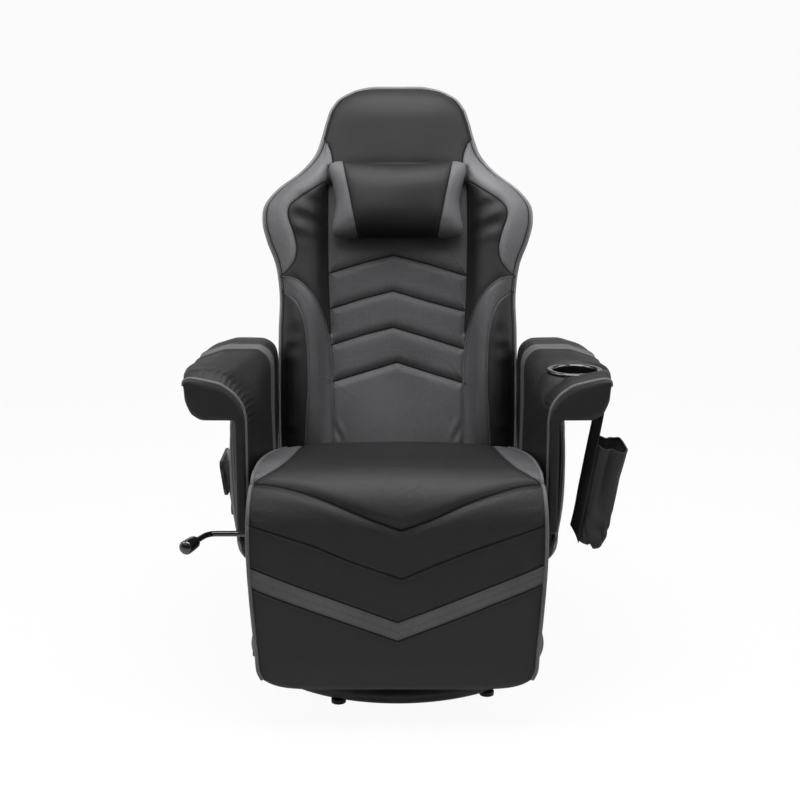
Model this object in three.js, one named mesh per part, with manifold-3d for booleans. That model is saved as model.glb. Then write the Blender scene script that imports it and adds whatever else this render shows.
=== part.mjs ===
// Racing-style gaming recliner on a swivelling floor ring, in millimetres, +Z up.
// It faces -Y. The seat turns on the base, the back leans about a hinge behind the seat,
// and the leg rest swings up about the centre of the seat's front roll.
import * as THREE from "three";
import { mergeVertices } from "three/addons/utils/BufferGeometryUtils.js";
import Module from "manifold-3d";

const wasm = await Module();
wasm.setup();

// Driving dimensions
const gap = 0.3; // clearance between touching solids
const overrun = 4; // how far a cut runs past the face that it opens
const round = { coarse: 12, fine: 24 }; // sides of small and of large round pieces
const plateThickness = 5; // steel brackets and links
const pin = { radius: 6, head: 9.5, headThickness: 3, clearance: 0.5, root: 1 }; // root: sunk in its plate

const ring = { radius: 284, tube: 16, sides: 8, steps: 40 };
const glide = { radius: 14, height: 8, count: 6, turn: 37 };
const spoke = { count: 4, width: 36, height: 14, rise: 34 };
const hub = { radius: 55, height: 36, spindle: 18, boreClearance: 1 };
const race = { radius: 85, thickness: 8 };
const balls = { inner: 50, outer: 80, height: 10 };
const riser = { radius: 60, flange: 85, flangeThickness: 6, height: 58, bore: 32, web: 18 };
const nut = { radius: 27, height: 12 };

const chassis = {
  halfWidth: 185, halfDepth: 165, plate: 5,
  railOffset: 150, railWidth: 40, railHeight: 25, railLength: 380,
  crossOffset: 150, crossWidth: 24, crossHeight: 24,
};
const pivot = { legRest: [-300, 380], torque: [17.65, 300], back: [175, 330] };
const crank = { reach: 82, lean: 11.3, eye: 14, linkEye: 12, collar: 16, inner: 140 };
const travelAngles = { legRest: 85, recline: 35 };
const torqueTube = { radius: 11, clearance: 1 };

const sidePlate = { inner: 222, boss: 15, foot: 165, neck: 46 };
const bracketInner = sidePlate.inner + plateThickness + gap; // brackets turn just outside the plates
const bracketOuter = bracketInner + plateThickness;
const seatFrame = {
  tilt: 6.04, tube: 25, front: -202, rear: 140, rearHeight: 319.6, outer: 221.7,
};
const spring = { count: 4, pitch: 90, wire: 2, swing: 18, waves: 3, sides: 4, steps: 6 };

const seat = {
  halfFront: 254, halfRear: 232, rear: 134, rearTop: 398, frontTop: 468, crown: 10, sideDrop: 16,
  scoopClearance: 3.2,
};
const roll = { radius: 90, inner: 55, wrapAngle: 118, marginAngle: 4, margin: 4 };
const legPad = {
  bottom: 77, thickness: 75.5, crown: 5, sideDrop: 13, groove: 3.5, halfWide: 264, cornerDrop: 17,
};
const legBoard = { halfWidth: 240, thickness: 12, bottom: 96, top: 348 };
const legFrame = { bar: 22, barHeight: 232, depth: 18 };

const lean = 14; // the back's angle from upright at rest
const back = {
  foot: [180, 400], height: 750, tail: 40, halfWidth: 285, panel: 140,
  panelDepth: 20, bolster: 62, edgeDepth: 4, wall: 8, groove: 5,
  framePlane: 35, tube: 10, rear: 55, frameHalfTop: 96, frameHalf: 178, frameHeight: 640,
  shoulder: 397, neck: 550, brace: 256, braceTube: 8,
};
const backBracket = { boss: 15 };
const crossbar = { radius: 9, lug: 12, place: [200.6, 338.2] };
const strut = {
  front: [-60, 240], rear: [215, 270], cylinder: 14, rod: 5, eye: 11, eyeHalf: 7,
  pin: 5, slop: 3.3, overlap: 30, body: 165, ear: 6,
};
const pillow = {
  centre: 512, halfHeight: 84, halfEnd: 150, halfWaist: 138, thickness: 62, edge: 14,
  bolsterClearance: 5, sag: 6, strapWidth: 36, strap: 2.4, strapShare: 0.5,
};

const arm = {
  overhang: 93, under: 545, front: -250, rear: 232, wallBottom: 330,
  board: 284, boardThickness: 12, boardFront: -225, boardRear: 205, boardBottom: 215,
  cornerTop: 318, cornerRear: -55,
  innerFront: 276, innerMid: 253, tipThick: 83, tipMid: 77, innerThick: 53,
  crownRise: 16, corner: 52, cornerMid: 30, tipRound: 30, tipRise: 11.5, innerRise: 34, step: 0.5,
};
const armOuter = arm.board + arm.boardThickness + arm.overhang;
const sidePanel = {
  front: -190, rear: 200, bottom: 192, topGap: 5, bulge: 328, edge: 3, frontRise: 110, riseShare: 0.5,
};
const cup = {
  inboard: 48, along: -152, lift: 74, flange: 53, flangeThickness: 3, inner: 41, wall: 2.5,
  depth: 64, floor: 3,
};
const paddle = {
  thickness: 5.5, tilt: 7.9, hub: 17, hubDepth: 8, place: 328.5,
  blade: [-84, 46], bladeBottom: 46, bladeTop: 116, corner: 14, neck: 13,
};
const lever = {
  place: [-215, 318], rod: 5.5, bend: 357, knobPlace: [-373, -262, 318], knob: 13.5, knobLength: 45,
  bush: 11, crankReach: 30, inside: 214, bendReach: 20,
};
const pouch = {
  along: 1, seat: 0.5, depth: 110, centre: -177, sheet: 4, height: 252, tilt: 9.5, pocket: 56.3,
  pocketTop: 66, wall: 3, bottomShare: 0.9,
};

// Helpers
const rad = THREE.MathUtils.degToRad;
const mix = THREE.MathUtils.lerp;
const inward = rad(90);
const root = new THREE.Group();

const paint = {
  steel: ["#17181a", 0.45, 0.8], zinc: ["#8d9094", 0.35, 0.9], leather: ["#1c1c1f", 0.5, 0],
  grey: ["#58585b", 0.55, 0], plastic: ["#0c0c0d", 0.25, 0], wood: ["#a98458", 0.8, 0],
  fabric: ["#121213", 0.9, 0],
};

function bare(geometry) {
  const copy = geometry.clone();
  for (const name of Object.keys(copy.attributes)) {
    if (name !== "position") copy.deleteAttribute(name);
  }
  return mergeVertices(copy, 1e-3);
}

function solid(geometry) {
  const merged = bare(geometry);
  return new wasm.Manifold(new wasm.Mesh({
    numProp: 3,
    vertProperties: merged.attributes.position.array,
    triVerts: new Uint32Array(merged.index.array),
  }));
}

function geometryOf(body) {
  const mesh = body.getMesh();
  const out = new THREE.BufferGeometry();
  out.setAttribute("position", new THREE.BufferAttribute(new Float32Array(mesh.vertProperties), 3));
  out.setIndex(new THREE.BufferAttribute(new Uint32Array(mesh.triVerts), 1));
  return out;
}

function joined(...pieces) {
  return geometryOf(pieces.map(solid).reduce((a, b) => a.add(b)));
}

function cutBy(piece, ...tools) {
  return geometryOf(tools.map(solid).reduce((a, b) => a.subtract(b), solid(piece)));
}

function add(name, geometry, finish) {
  const [color, roughness, metalness] = paint[finish];
  const material = new THREE.MeshStandardMaterial({ color, roughness, metalness });
  const shown = geometry.clone();
  shown.computeVertexNormals();
  const mesh = new THREE.Mesh(shown, material);
  mesh.name = name;
  root.add(mesh);
  return mesh;
}

// A box between two corners.
function box(low, high) {
  const size = high.map((v, i) => v - low[i]);
  return new THREE.BoxGeometry(...size).translate(...low.map((v, i) => v + size[i] / 2));
}

// A round bar along X, Y or Z between two places on its axis; centre gives the other two.
function bar(axis, radius, from, to, centre, sides = round.coarse) {
  const made = new THREE.CylinderGeometry(radius, radius, to - from, sides);
  const middle = (from + to) / 2;
  if (axis === "x") return made.rotateZ(inward).translate(middle, ...centre);
  if (axis === "y") return made.translate(centre[0], middle, centre[1]);
  return made.rotateX(inward).translate(...centre, middle);
}

// A plate in the YZ plane, from x = low to x = high, with round holes.
function plate(points, low, high, holes = []) {
  const shape = new THREE.Shape(points.map(([y, z]) => new THREE.Vector2(y, z)));
  for (const [y, z, radius] of holes) {
    const hole = new THREE.Path();
    hole.absarc(y, z, radius, 0, Math.PI * 2, true);
    shape.holes.push(hole);
  }
  const made = new THREE.ExtrudeGeometry(shape, {
    depth: high - low, bevelEnabled: false, curveSegments: round.coarse,
  });
  return made.rotateX(inward).rotateZ(inward).translate(low, 0, 0);
}

// The outline of two or more round ends joined by straight sides: a convex hull of circles.
function hullOutline(circles, sides = round.coarse) {
  const points = circles.flatMap(([y, z, radius]) => Array.from({ length: sides }, (_, i) => {
    const turn = (i / sides) * Math.PI * 2;
    return [y + radius * Math.cos(turn), z + radius * Math.sin(turn)];
  }));
  points.sort((a, b) => a[0] - b[0] || a[1] - b[1]);
  const cross = (o, a, b) => (a[0] - o[0]) * (b[1] - o[1]) - (a[1] - o[1]) * (b[0] - o[0]);
  const half = (list) => list.reduce((chain, p) => {
    while (chain.length > 1 && cross(chain.at(-2), chain.at(-1), p) <= 0) chain.pop();
    chain.push(p);
    return chain;
  }, []);
  const lower = half(points);
  const upper = half([...points].reverse());
  return [...lower.slice(0, -1), ...upper.slice(0, -1)];
}

// A closed surface through rings of points, with both end rings filled.
function loft(rings) {
  const count = rings[0].length;
  const position = rings.flat().flatMap((p) => [p.x, p.y, p.z]);
  const index = [];
  for (let k = 0; k + 1 < rings.length; k += 1) {
    for (let i = 0; i < count; i += 1) {
      const j = (i + 1) % count;
      const [a, b] = [k * count + i, k * count + j];
      index.push(a, b, b + count, a, b + count, a + count);
    }
  }
  const fill = (ringPoints, start, keep) => {
    const normal = new THREE.Vector3();
    ringPoints.forEach((p, i) => {
      const q = ringPoints[(i + 1) % count];
      normal.add(new THREE.Vector3().crossVectors(p, q));
    });
    normal.normalize();
    const along = new THREE.Vector3().crossVectors(normal, new THREE.Vector3(0.36, 0.48, 0.8));
    along.normalize();
    const across = new THREE.Vector3().crossVectors(normal, along);
    const flat = ringPoints.map((p) => new THREE.Vector2(p.dot(along), p.dot(across)));
    for (const [a, b, c] of THREE.ShapeUtils.triangulateShape(flat, [])) {
      const turn = (flat[b].x - flat[a].x) * (flat[c].y - flat[a].y)
        - (flat[b].y - flat[a].y) * (flat[c].x - flat[a].x);
      const same = (turn > 0) === keep;
      index.push(start + a, start + (same ? b : c), start + (same ? c : b));
    }
  };
  fill(rings[0], 0, false);
  fill(rings.at(-1), (rings.length - 1) * count, true);
  const made = new THREE.BufferGeometry();
  made.setAttribute("position", new THREE.Float32BufferAttribute(position, 3));
  made.setIndex(index);
  return volume(made) < 0 ? turned(made) : made;
}

function volume(geometry) {
  const p = geometry.attributes.position;
  const [a, b, c] = [0, 1, 2].map(() => new THREE.Vector3());
  let sum = 0;
  for (let i = 0; i < geometry.index.count; i += 3) {
    a.fromBufferAttribute(p, geometry.index.getX(i));
    b.fromBufferAttribute(p, geometry.index.getX(i + 1));
    c.fromBufferAttribute(p, geometry.index.getX(i + 2));
    sum += a.dot(b.cross(c));
  }
  return sum;
}

function turned(geometry) {
  const list = geometry.index.array;
  for (let i = 0; i < list.length; i += 3) [list[i + 1], list[i + 2]] = [list[i + 2], list[i + 1]];
  return geometry;
}

function mirrored(geometry) {
  return turned(bare(geometry).scale(-1, 1, 1));
}

// Straight lines through [place, value] pairs.
function straightThrough(table, place) {
  const next = Math.max(table.findIndex((row) => row[0] > place), 1);
  const [p0, p1] = place >= table.at(-1)[0] ? table.slice(-2) : table.slice(next - 1, next + 1);
  return mix(p0[1], p1[1], (place - p0[0]) / (p1[0] - p0[0]));
}

// A smooth curve through [place, value] pairs.
function smooth(table, place) {
  const last = table.length - 1;
  const k = Math.min(Math.max(table.findIndex((row) => row[0] > place) - 1, 0), last - 1);
  const start = place >= table[last][0] ? last - 1 : k;
  const [p0, p1] = [table[start], table[start + 1]];
  const before = table[Math.max(start - 1, 0)];
  const after = table[Math.min(start + 2, last)];
  const span = p1[0] - p0[0];
  const t = Math.min(Math.max((place - p0[0]) / span, 0), 1);
  const m0 = ((p1[1] - before[1]) / (p1[0] - before[0])) * span;
  const m1 = ((after[1] - p0[1]) / (after[0] - p0[0])) * span;
  const t2 = t * t;
  const t3 = t2 * t;
  return (2 * t3 - 3 * t2 + 1) * p0[1] + (t3 - 2 * t2 + t) * m0
    + (3 * t2 - 2 * t3) * p1[1] + (t3 - t2) * m1;
}

const bothSides = (shares) => [...shares.slice(1).reverse().map((s) => -s), ...shares];
const vector = (x, y, z) => new THREE.Vector3(x, y, z);
const steps = (count) => Array.from({ length: count + 1 }, (_, i) => i / count);

// Base: ring on glides, spokes, hub with its spindle, and the fixed half of the swivel
const ringHeight = glide.height + ring.tube;
const hubBottom = ringHeight + spoke.rise - hub.height / 2;
const hubTop = hubBottom + hub.height;
const raceTop = hubTop + gap + race.thickness;
const ballTop = raceTop + gap + balls.height;
const upperRaceTop = ballTop + gap + race.thickness;
const riserBottom = upperRaceTop + gap;
const riserTop = riserBottom + riser.height;
const webTop = riserBottom + riser.web;
const boreRadius = hub.spindle + hub.boreClearance;

function lathe(pairs, sides = round.fine) {
  const profile = [...pairs, pairs[0]].map(([r, z]) => new THREE.Vector2(r, z));
  const made = new THREE.LatheGeometry(profile, sides).rotateX(inward);
  const merged = bare(made);
  return volume(merged) < 0 ? turned(merged) : merged;
}

function base() {
  const torus = new THREE.TorusGeometry(ring.radius, ring.tube, ring.sides, ring.steps);
  add("base_ring", bare(torus.translate(0, 0, ringHeight)), "steel");
  const innerFace = (ring.radius - ring.tube) * Math.cos(Math.PI / ring.steps);
  const spokeEnd = Math.sqrt(innerFace ** 2 - (spoke.width / 2) ** 2) - gap;
  const spokeStart = hub.radius + gap;
  const outline = [
    [spokeStart, spoke.rise], [spokeEnd, 0], [spokeEnd, spoke.height], [spokeStart, spoke.rise + spoke.height],
  ].map(([r, z]) => new THREE.Vector2(r, z - spoke.height / 2));
  for (let i = 0; i < spoke.count; i += 1) {
    const arms = new THREE.ExtrudeGeometry(new THREE.Shape(outline), {
      depth: spoke.width, bevelEnabled: false,
    });
    arms.translate(0, 0, -spoke.width / 2).rotateX(inward);
    const turn = ((i + 0.5) / spoke.count) * Math.PI * 2;
    add(`spoke_${i + 1}`, arms.rotateZ(turn).translate(0, 0, ringHeight), "steel");
  }
  for (let i = 0; i < glide.count; i += 1) {
    const turn = (i / glide.count) * Math.PI * 2 + rad(glide.turn) - Math.PI / 2;
    const place = [ring.radius * Math.cos(turn), ring.radius * Math.sin(turn)];
    add(`glide_${i + 1}`, bar("z", glide.radius, 0, glide.height - gap, place), "plastic");
  }
  const spindleTop = webTop + gap + nut.height + gap;
  add("base_hub", lathe([
    [0, hubBottom], [hub.radius, hubBottom], [hub.radius, hubTop],
    [hub.spindle, hubTop], [hub.spindle, spindleTop], [0, spindleTop],
  ]), "steel");
  const disc = (inner, outer, low, high) => lathe([[inner, low], [outer, low], [outer, high], [inner, high]]);
  add("swivel_race_lower", disc(boreRadius, race.radius, hubTop + gap, raceTop), "zinc");
  const middle = (raceTop + ballTop + gap) / 2;
  add("swivel_ball_ring", lathe([
    [balls.inner, middle], [(balls.inner + balls.outer) / 2, raceTop + gap],
    [balls.outer, middle], [(balls.inner + balls.outer) / 2, ballTop],
  ]), "zinc");
  add("swivel_race_upper", disc(boreRadius, race.radius, ballTop + gap, upperRaceTop), "zinc");
  add("spindle_nut", disc(hub.spindle + gap, nut.radius, webTop + gap, webTop + gap + nut.height), "zinc");
  add("swivel_riser", lathe([
    [boreRadius, riserBottom], [riser.flange, riserBottom],
    [riser.flange, riserBottom + riser.flangeThickness],
    [riser.radius, riserBottom + riser.flangeThickness],
    [riser.radius, riserTop], [riser.bore, riserTop], [riser.bore, webTop], [boreRadius, webTop],
  ]), "steel");
}

// Chassis on the riser: a plate with the strut's ear, two rails and two cross tubes
const chassisTop = riserTop + gap + chassis.plate;
const railTop = chassisTop + gap + chassis.railHeight;
const crossTop = railTop + gap + chassis.crossHeight;

function chassisPieces() {
  const c = chassis;
  const earLow = strut.eyeHalf + gap;
  const [earY, earZ] = strut.front;
  const ear = plate(hullOutline([
    [earY, earZ, strut.eye], [earY - strut.eye, chassisTop, c.plate / 2], [earY + strut.eye, chassisTop, c.plate / 2],
  ]), earLow, earLow + strut.ear);
  const earPin = bar("x", strut.pin, -earLow, earLow + strut.ear / 2, strut.front);
  const floor = box([-c.halfWidth, -c.halfDepth, riserTop + gap], [c.halfWidth, c.halfDepth, chassisTop]);
  add("chassis_plate", joined(floor, ear, earPin), "steel");
  for (const [side, sign] of [["left", -1], ["right", 1]]) {
    const x = sign * c.railOffset;
    add(`chassis_rail_${side}`, box(
      [x - c.railWidth / 2, -c.railLength / 2, chassisTop + gap],
      [x + c.railWidth / 2, c.railLength / 2, railTop],
    ), "steel");
  }
  for (const [place, sign] of [["front", -1], ["rear", 1]]) {
    const y = sign * c.crossOffset;
    const reach = arm.board - gap;
    add(`chassis_cross_${place}`, box(
      [-reach, y - c.crossWidth / 2, railTop + gap],
      [reach, y + c.crossWidth / 2, crossTop],
    ), "steel");
  }
}

// The seat frame is built level and then tilted about the rear end of its rails.
const tiltUp = rad(seatFrame.tilt);
const railMiddle = (y) => seatFrame.rearHeight + (seatFrame.rear - y) * Math.tan(tiltUp);
const railUpper = (y) => railMiddle(y) + seatFrame.tube / 2 / Math.cos(tiltUp);

function tilted(geometry) {
  return geometry.rotateX(-tiltUp).translate(0, seatFrame.rear, seatFrame.rearHeight);
}

function sidePlates() {
  const p = sidePlate;
  // The neck reaches the leg rest's pivot below the roll's swept space.
  const neckTurn = 180 - roll.wrapAngle - travelAngles.legRest - roll.marginAngle;
  const [legY, legZ] = pivot.legRest;
  const [backY, backZ] = pivot.back;
  const footLevel = crossTop + gap;
  const outline = [
    [p.foot, footLevel], [p.foot + p.boss / 2, backZ - 2 * p.boss], ...arc(pivot.back, p.boss, -40, 130),
    [backY - 2 * p.boss, railMiddle(backY - 2 * p.boss)],
    [seatFrame.front, railMiddle(seatFrame.front) - seatFrame.tube / 2],
    at(pivot.legRest, roll.radius + roll.margin, neckTurn), at(pivot.legRest, roll.inner - roll.margin, neckTurn),
    ...arc(pivot.legRest, p.boss, neckTurn + 50, 265, 8),
    [seatFrame.front - 2 * p.boss, railMiddle(seatFrame.front) - p.neck],
    [-p.foot, footLevel + p.boss], [-p.foot, footLevel],
  ];
  const shaft = torqueTube.radius + pin.clearance;
  const holes = [[...pivot.torque, shaft], [...lever.place, lever.rod + pin.clearance]];
  const high = p.inner + plateThickness;
  const head = bracketOuter + gap;
  const stud = (place) => [
    bar("x", pin.radius, high - pin.root, head + pin.headThickness, place),
    bar("x", pin.head, head, head + pin.headThickness, place),
  ];
  const right = joined(
    plate(outline, p.inner, high, holes.slice(0, 1)), ...stud([legY, legZ]), ...stud([backY, backZ]),
  );
  const left = joined(plate(outline, p.inner, high, holes), ...stud([legY, legZ]), ...stud([backY, backZ]));
  add("side_plate_right", right, "steel");
  add("side_plate_left", mirrored(left), "steel");
}

// The point at a distance and an angle from a place in the YZ plane.
function at([y, z], radius, degrees) {
  return [y + radius * Math.cos(rad(degrees)), z + radius * Math.sin(rad(degrees))];
}

// Points of a circle about a place in the YZ plane, from one angle to another.
function arc([y, z], radius, from, to, count = 6) {
  return steps(count).map((t) => at([y, z], radius, mix(from, to, t)));
}

function seatFramePieces() {
  const s = seatFrame;
  const half = s.tube / 2;
  const length = (s.rear - s.front) / Math.cos(tiltUp);
  const inner = s.outer - s.tube;
  for (const [side, sign] of [["left", -1], ["right", 1]]) {
    const x = sign * (s.outer - half);
    add(`seat_rail_${side}`, tilted(box([x - half, -length, -half], [x + half, 0, half])), "steel");
  }
  const cross = (y) => tilted(box([-inner + gap, y, -half], [inner - gap, y + s.tube, half]));
  add("seat_cross_front", cross(-length), "steel");
  add("seat_cross_rear", cross(-s.tube), "steel");
  const clear = gap + spring.wire;
  const run = length - 2 * s.tube - 2 * clear;
  for (let i = 0; i < spring.count; i += 1) {
    const x = (i - (spring.count - 1) / 2) * spring.pitch;
    const points = steps(spring.waves * spring.steps).map((t) => vector(
      x + spring.swing * Math.sin(t * spring.waves * Math.PI * 2),
      -length + s.tube + clear + t * run,
      half - spring.wire,
    ));
    const path = new THREE.CatmullRomCurve3(points);
    const section = new THREE.Shape(steps(spring.sides).slice(1).map((t) => new THREE.Vector2(
      spring.wire * Math.cos(t * Math.PI * 2),
      spring.wire * Math.sin(t * Math.PI * 2),
    )));
    const wire = new THREE.ExtrudeGeometry(section, {
      extrudePath: path, steps: spring.waves * spring.steps * 2, bevelEnabled: false,
    });
    add(`seat_spring_${i + 1}`, tilted(wire), "zinc");
  }
}

// Seat cushion: sections in the YZ plane, lofted from side to side. Its front is scooped
// round the roll, so that the roll can turn into it when the leg rest swings up.
const sideShares = [0, 0.3, 0.6, 0.82, 0.93, 0.985, 1];

function seatCushion() {
  const rollY = pivot.legRest[0];
  const reach = roll.radius + seat.scoopClearance;
  const scoop = arc(pivot.legRest, reach, 180 - roll.wrapAngle - roll.marginAngle / 2, 3, 5);
  const lip = scoop[0];
  const bottomRear = railUpper(seat.rear) + gap;
  const top = steps(9).map((t) => {
    const y = mix(seat.rear, lip[0], t);
    return [y, mix(seat.rearTop, seat.frontTop, Math.sin((t * Math.PI) / 2))];
  });
  const section = [
    [seat.rear, bottomRear + gap], ...top, ...scoop.slice(1),
    [rollY + reach, railUpper(rollY + reach) + gap + gap],
  ];
  const rings = bothSides(sideShares).map((share) => section.map(([y, z], k) => {
    const t = (seat.rear - y) / (seat.rear - rollY);
    const half = mix(seat.halfRear, seat.halfFront, Math.min(t * 1.2, 1));
    const onTop = k > 0 && k <= top.length;
    const edge = Math.abs(share) ** 6;
    const crown = seat.crown * (1 - share * share) * Math.sin(Math.PI * Math.min(Math.max(t, 0), 1));
    const depth = k > top.length && k < section.length - 1 ? 0 : 1;
    const drop = onTop ? crown - seat.sideDrop * edge : 0;
    return vector(share * half, y, z + drop * depth);
  }));
  add("seat_cushion", loft(rings), "leather");
}

// Leg rest pad. Its skin is measured from the bottom edge, up the front and round the roll.
const frontY = pivot.legRest[0] - roll.radius;
const straight = pivot.legRest[1] - legPad.bottom;
const skinLength = straight + roll.radius * (Math.PI / 2);

// [middle of the pad, its edge, groove] as shares of the skin's length; the seams run in a V.
const skinRowShares = [
  [0, 0, 0], [0.012, 0.02, 0], [0.05, 0.09, 0], [0.12, 0.25, 0],
  [0.198, 0.415, 0], [0.216, 0.433, 1], [0.234, 0.451, 0],
  [0.276, 0.494, 0], [0.294, 0.512, 1], [0.312, 0.53, 0],
  [0.39, 0.62, 0], [0.464, 0.676, 0], [0.482, 0.694, 1], [0.5, 0.712, 0],
  [0.59, 0.83, 0], [0.665, 0.907, 0], [0.683, 0.925, 1], [0.7, 0.94, 0],
  [0.79, 0.965, 0], [0.9, 0.985, 0], [1, 1, 0],
];
const legWidthShares = [[0, 0.955], [0.12, 0.965], [0.35, 0.985], [0.585, 1], [0.8, 0.985], [1, 0.965]];
const padDepthShares = [[0, 1], [0.6, 1], [0.66, 0.8], [0.72, 0.5], [0.8, 0.47], [1, 0.464]];

function skinPoint(length, depth) {
  const [rollY, rollZ] = pivot.legRest;
  if (length <= straight) return [frontY + depth, legPad.bottom + length];
  const turn = (length - straight) / roll.radius;
  const reach = roll.radius - depth;
  return [rollY - reach * Math.cos(turn), rollZ + reach * Math.sin(turn)];
}

function legRestPad() {
  const columns = bothSides(sideShares);
  const last = (straight + roll.radius * rad(roll.wrapAngle)) / skinLength;
  const rings = [...skinRowShares, [last, last, 0]].map(([middle, edge, groove], k) => {
    const low = k === 0;
    const front = columns.map((share) => {
      const along = mix(middle, edge, Math.abs(share));
      const half = legPad.halfWide * smooth(legWidthShares, along);
      const rise = (1 - share * share) * Math.min(Math.max((1 - along) * 2, 0), 1);
      const side = legPad.sideDrop * Math.abs(share) ** 8;
      const pull = groove * legPad.groove * (1 - Math.abs(share) ** 8);
      const depth = side + pull - legPad.crown * rise + (low ? legPad.sideDrop : 0);
      const corner = legPad.cornerDrop * Math.abs(share) ** 10 * Math.max(1 - along / 0.09, 0);
      const [y, z] = skinPoint(along * skinLength + corner, depth);
      return vector(share * half, y, z);
    });
    const rear = [1, 0.4, -0.4, -1].map((share) => {
      const along = mix(middle, edge, 0.5 + Math.abs(share) / 2);
      const half = legPad.halfWide * smooth(legWidthShares, along);
      const depth = legPad.thickness * straightThrough(padDepthShares, along) - gap;
      const [y, z] = skinPoint(along * skinLength, depth);
      return vector(share * half * 0.985, y, z);
    });
    return [...front, ...rear];
  });
  add("legrest_pad", loft(rings), "leather");
}

// The crank and the leg rest's drive pin hang alike from their pivots, so the link between
// them stays parallel to the line through the pivots at every angle.
const hang = [
  Math.sin(rad(crank.lean)) * crank.reach,
  -Math.cos(rad(crank.lean)) * crank.reach,
];
const crankPin = [pivot.torque[0] + hang[0], pivot.torque[1] + hang[1]];
const drivePin = [pivot.legRest[0] + hang[0], pivot.legRest[1] + hang[1]];
const linkInner = crank.inner + plateThickness + gap;
const linkOuter = linkInner + plateThickness;

function driveStud(place) {
  const head = linkOuter + gap;
  return [
    bar("x", pin.radius, linkInner - gap - pin.root, head + pin.headThickness, place),
    bar("x", pin.head, head, head + pin.headThickness, place),
  ];
}

function legRestFrame() {
  const b = legBoard;
  const boardFront = pivot.legRest[0] - roll.radius + legPad.thickness;
  const boardRear = boardFront + b.thickness;
  add("legrest_board", box([-b.halfWidth, boardFront, b.bottom], [b.halfWidth, boardRear, b.top]), "wood");
  const f = legFrame;
  const face = boardRear + gap;
  const [legY, legZ] = pivot.legRest;
  const bracket = plate([
    [face, f.barHeight], [face + f.depth, f.barHeight],
    [legY + sidePlate.boss, legZ - sidePlate.boss], ...arc(pivot.legRest, sidePlate.boss, -20, 230, 9),
    [face, b.top + pin.clearance],
  ], bracketInner, bracketOuter, [[legY, legZ, pin.radius + pin.clearance]]);
  const rib = plate(
    hullOutline([
      [...drivePin, crank.eye], [face + pin.radius, drivePin[1] + crank.eye, pin.radius],
      [face + pin.radius, f.barHeight + pin.radius, pin.radius],
    ]),
    crank.inner, crank.inner + plateThickness,
  );
  const reach = bracketOuter;
  const cross = box([-reach, face, f.barHeight], [reach, face + f.depth, f.barHeight + f.bar]);
  const rightSide = [bracket, rib, ...driveStud(drivePin)];
  add("legrest_frame", joined(cross, ...rightSide, ...rightSide.map(mirrored)), "steel");
}

function drive() {
  const eye = pin.radius + pin.clearance;
  const arms = [
    plate(hullOutline([[...pivot.torque, crank.collar], [...crankPin, crank.eye]]),
      crank.inner, crank.inner + plateThickness),
    ...driveStud(crankPin),
  ];
  const tubeEnd = paddle.place - torqueTube.radius * Math.tan(rad(paddle.tilt)) - gap;
  const tube = bar("x", torqueTube.radius, -tubeEnd, bracketOuter, pivot.torque);
  add("torque_tube", joined(tube, ...arms, ...arms.map(mirrored)), "steel");
  const link = plate(
    hullOutline([[...crankPin, crank.linkEye], [...drivePin, crank.linkEye]]),
    linkInner, linkOuter, [[...crankPin, eye], [...drivePin, eye]],
  );
  add("push_link_right", link, "zinc");
  add("push_link_left", mirrored(link), "zinc");
}

// Paddle on the left end of the torque tube: a hub, a neck and a flat blade, leaning out.
function paddleHandle() {
  const [y0, z0] = pivot.torque;
  const h = paddle;
  const [bladeFront, bladeRear] = h.blade;
  const blade = hullOutline([
    [bladeFront + h.corner, h.bladeBottom + h.corner, h.corner],
    [bladeRear - h.corner, h.bladeBottom + h.corner, h.corner],
    [bladeFront + h.corner, h.bladeTop - h.corner, h.corner],
    [bladeRear - h.corner, h.bladeTop - h.corner, h.corner],
  ]);
  const neck = hullOutline([[0, 0, h.hub], [0, h.bladeBottom + h.corner, h.neck]]);
  const flat = joined(plate(blade, 0, h.thickness), plate(neck, 0, h.thickness));
  const leaned = flat.rotateY(rad(h.tilt)).translate(h.place, y0, z0);
  const knuckle = bar("x", h.hub, h.place, h.place + h.hubDepth, pivot.torque);
  add("paddle_handle", mirrored(joined(leaned, knuckle)), "plastic");
}

// Back: every point is given across, up along the back, and forward of its outline plane.
const backLean = rad(lean);
function onBack(x, up, out) {
  return vector(
    x,
    back.foot[0] + up * Math.sin(backLean) - out * Math.cos(backLean),
    back.foot[1] + up * Math.cos(backLean) + out * Math.sin(backLean),
  );
}

// Half width as a share of the widest, at shares of the height.
const outlineShares = [
  [-0.06, 0.85], [0, 0.855], [0.12, 0.858], [0.3, 0.86], [0.42, 0.865], [0.5, 0.9], [0.565, 0.965],
  [0.615, 0.995], [0.665, 0.975], [0.705, 0.885], [0.755, 0.712], [0.8, 0.61], [0.85, 0.557],
  [0.9, 0.52], [0.94, 0.476], [0.972, 0.385], [0.992, 0.235], [1, 0.1],
];
// Bolster height and centre panel depth, as shares, at shares of the height.
const bolsterShares = [
  [-0.06, 0.3], [0.05, 0.72], [0.3, 1], [0.5, 0.95], [0.62, 1], [0.72, 0.85], [0.8, 0.7], [0.92, 0.62],
  [0.97, 0.5], [1, 0.12],
];
const panelShares = [[-0.06, 1], [0.6, 1], [0.75, 1.35], [0.92, 1.5], [0.975, 1.1], [1, 0.3]];
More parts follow.
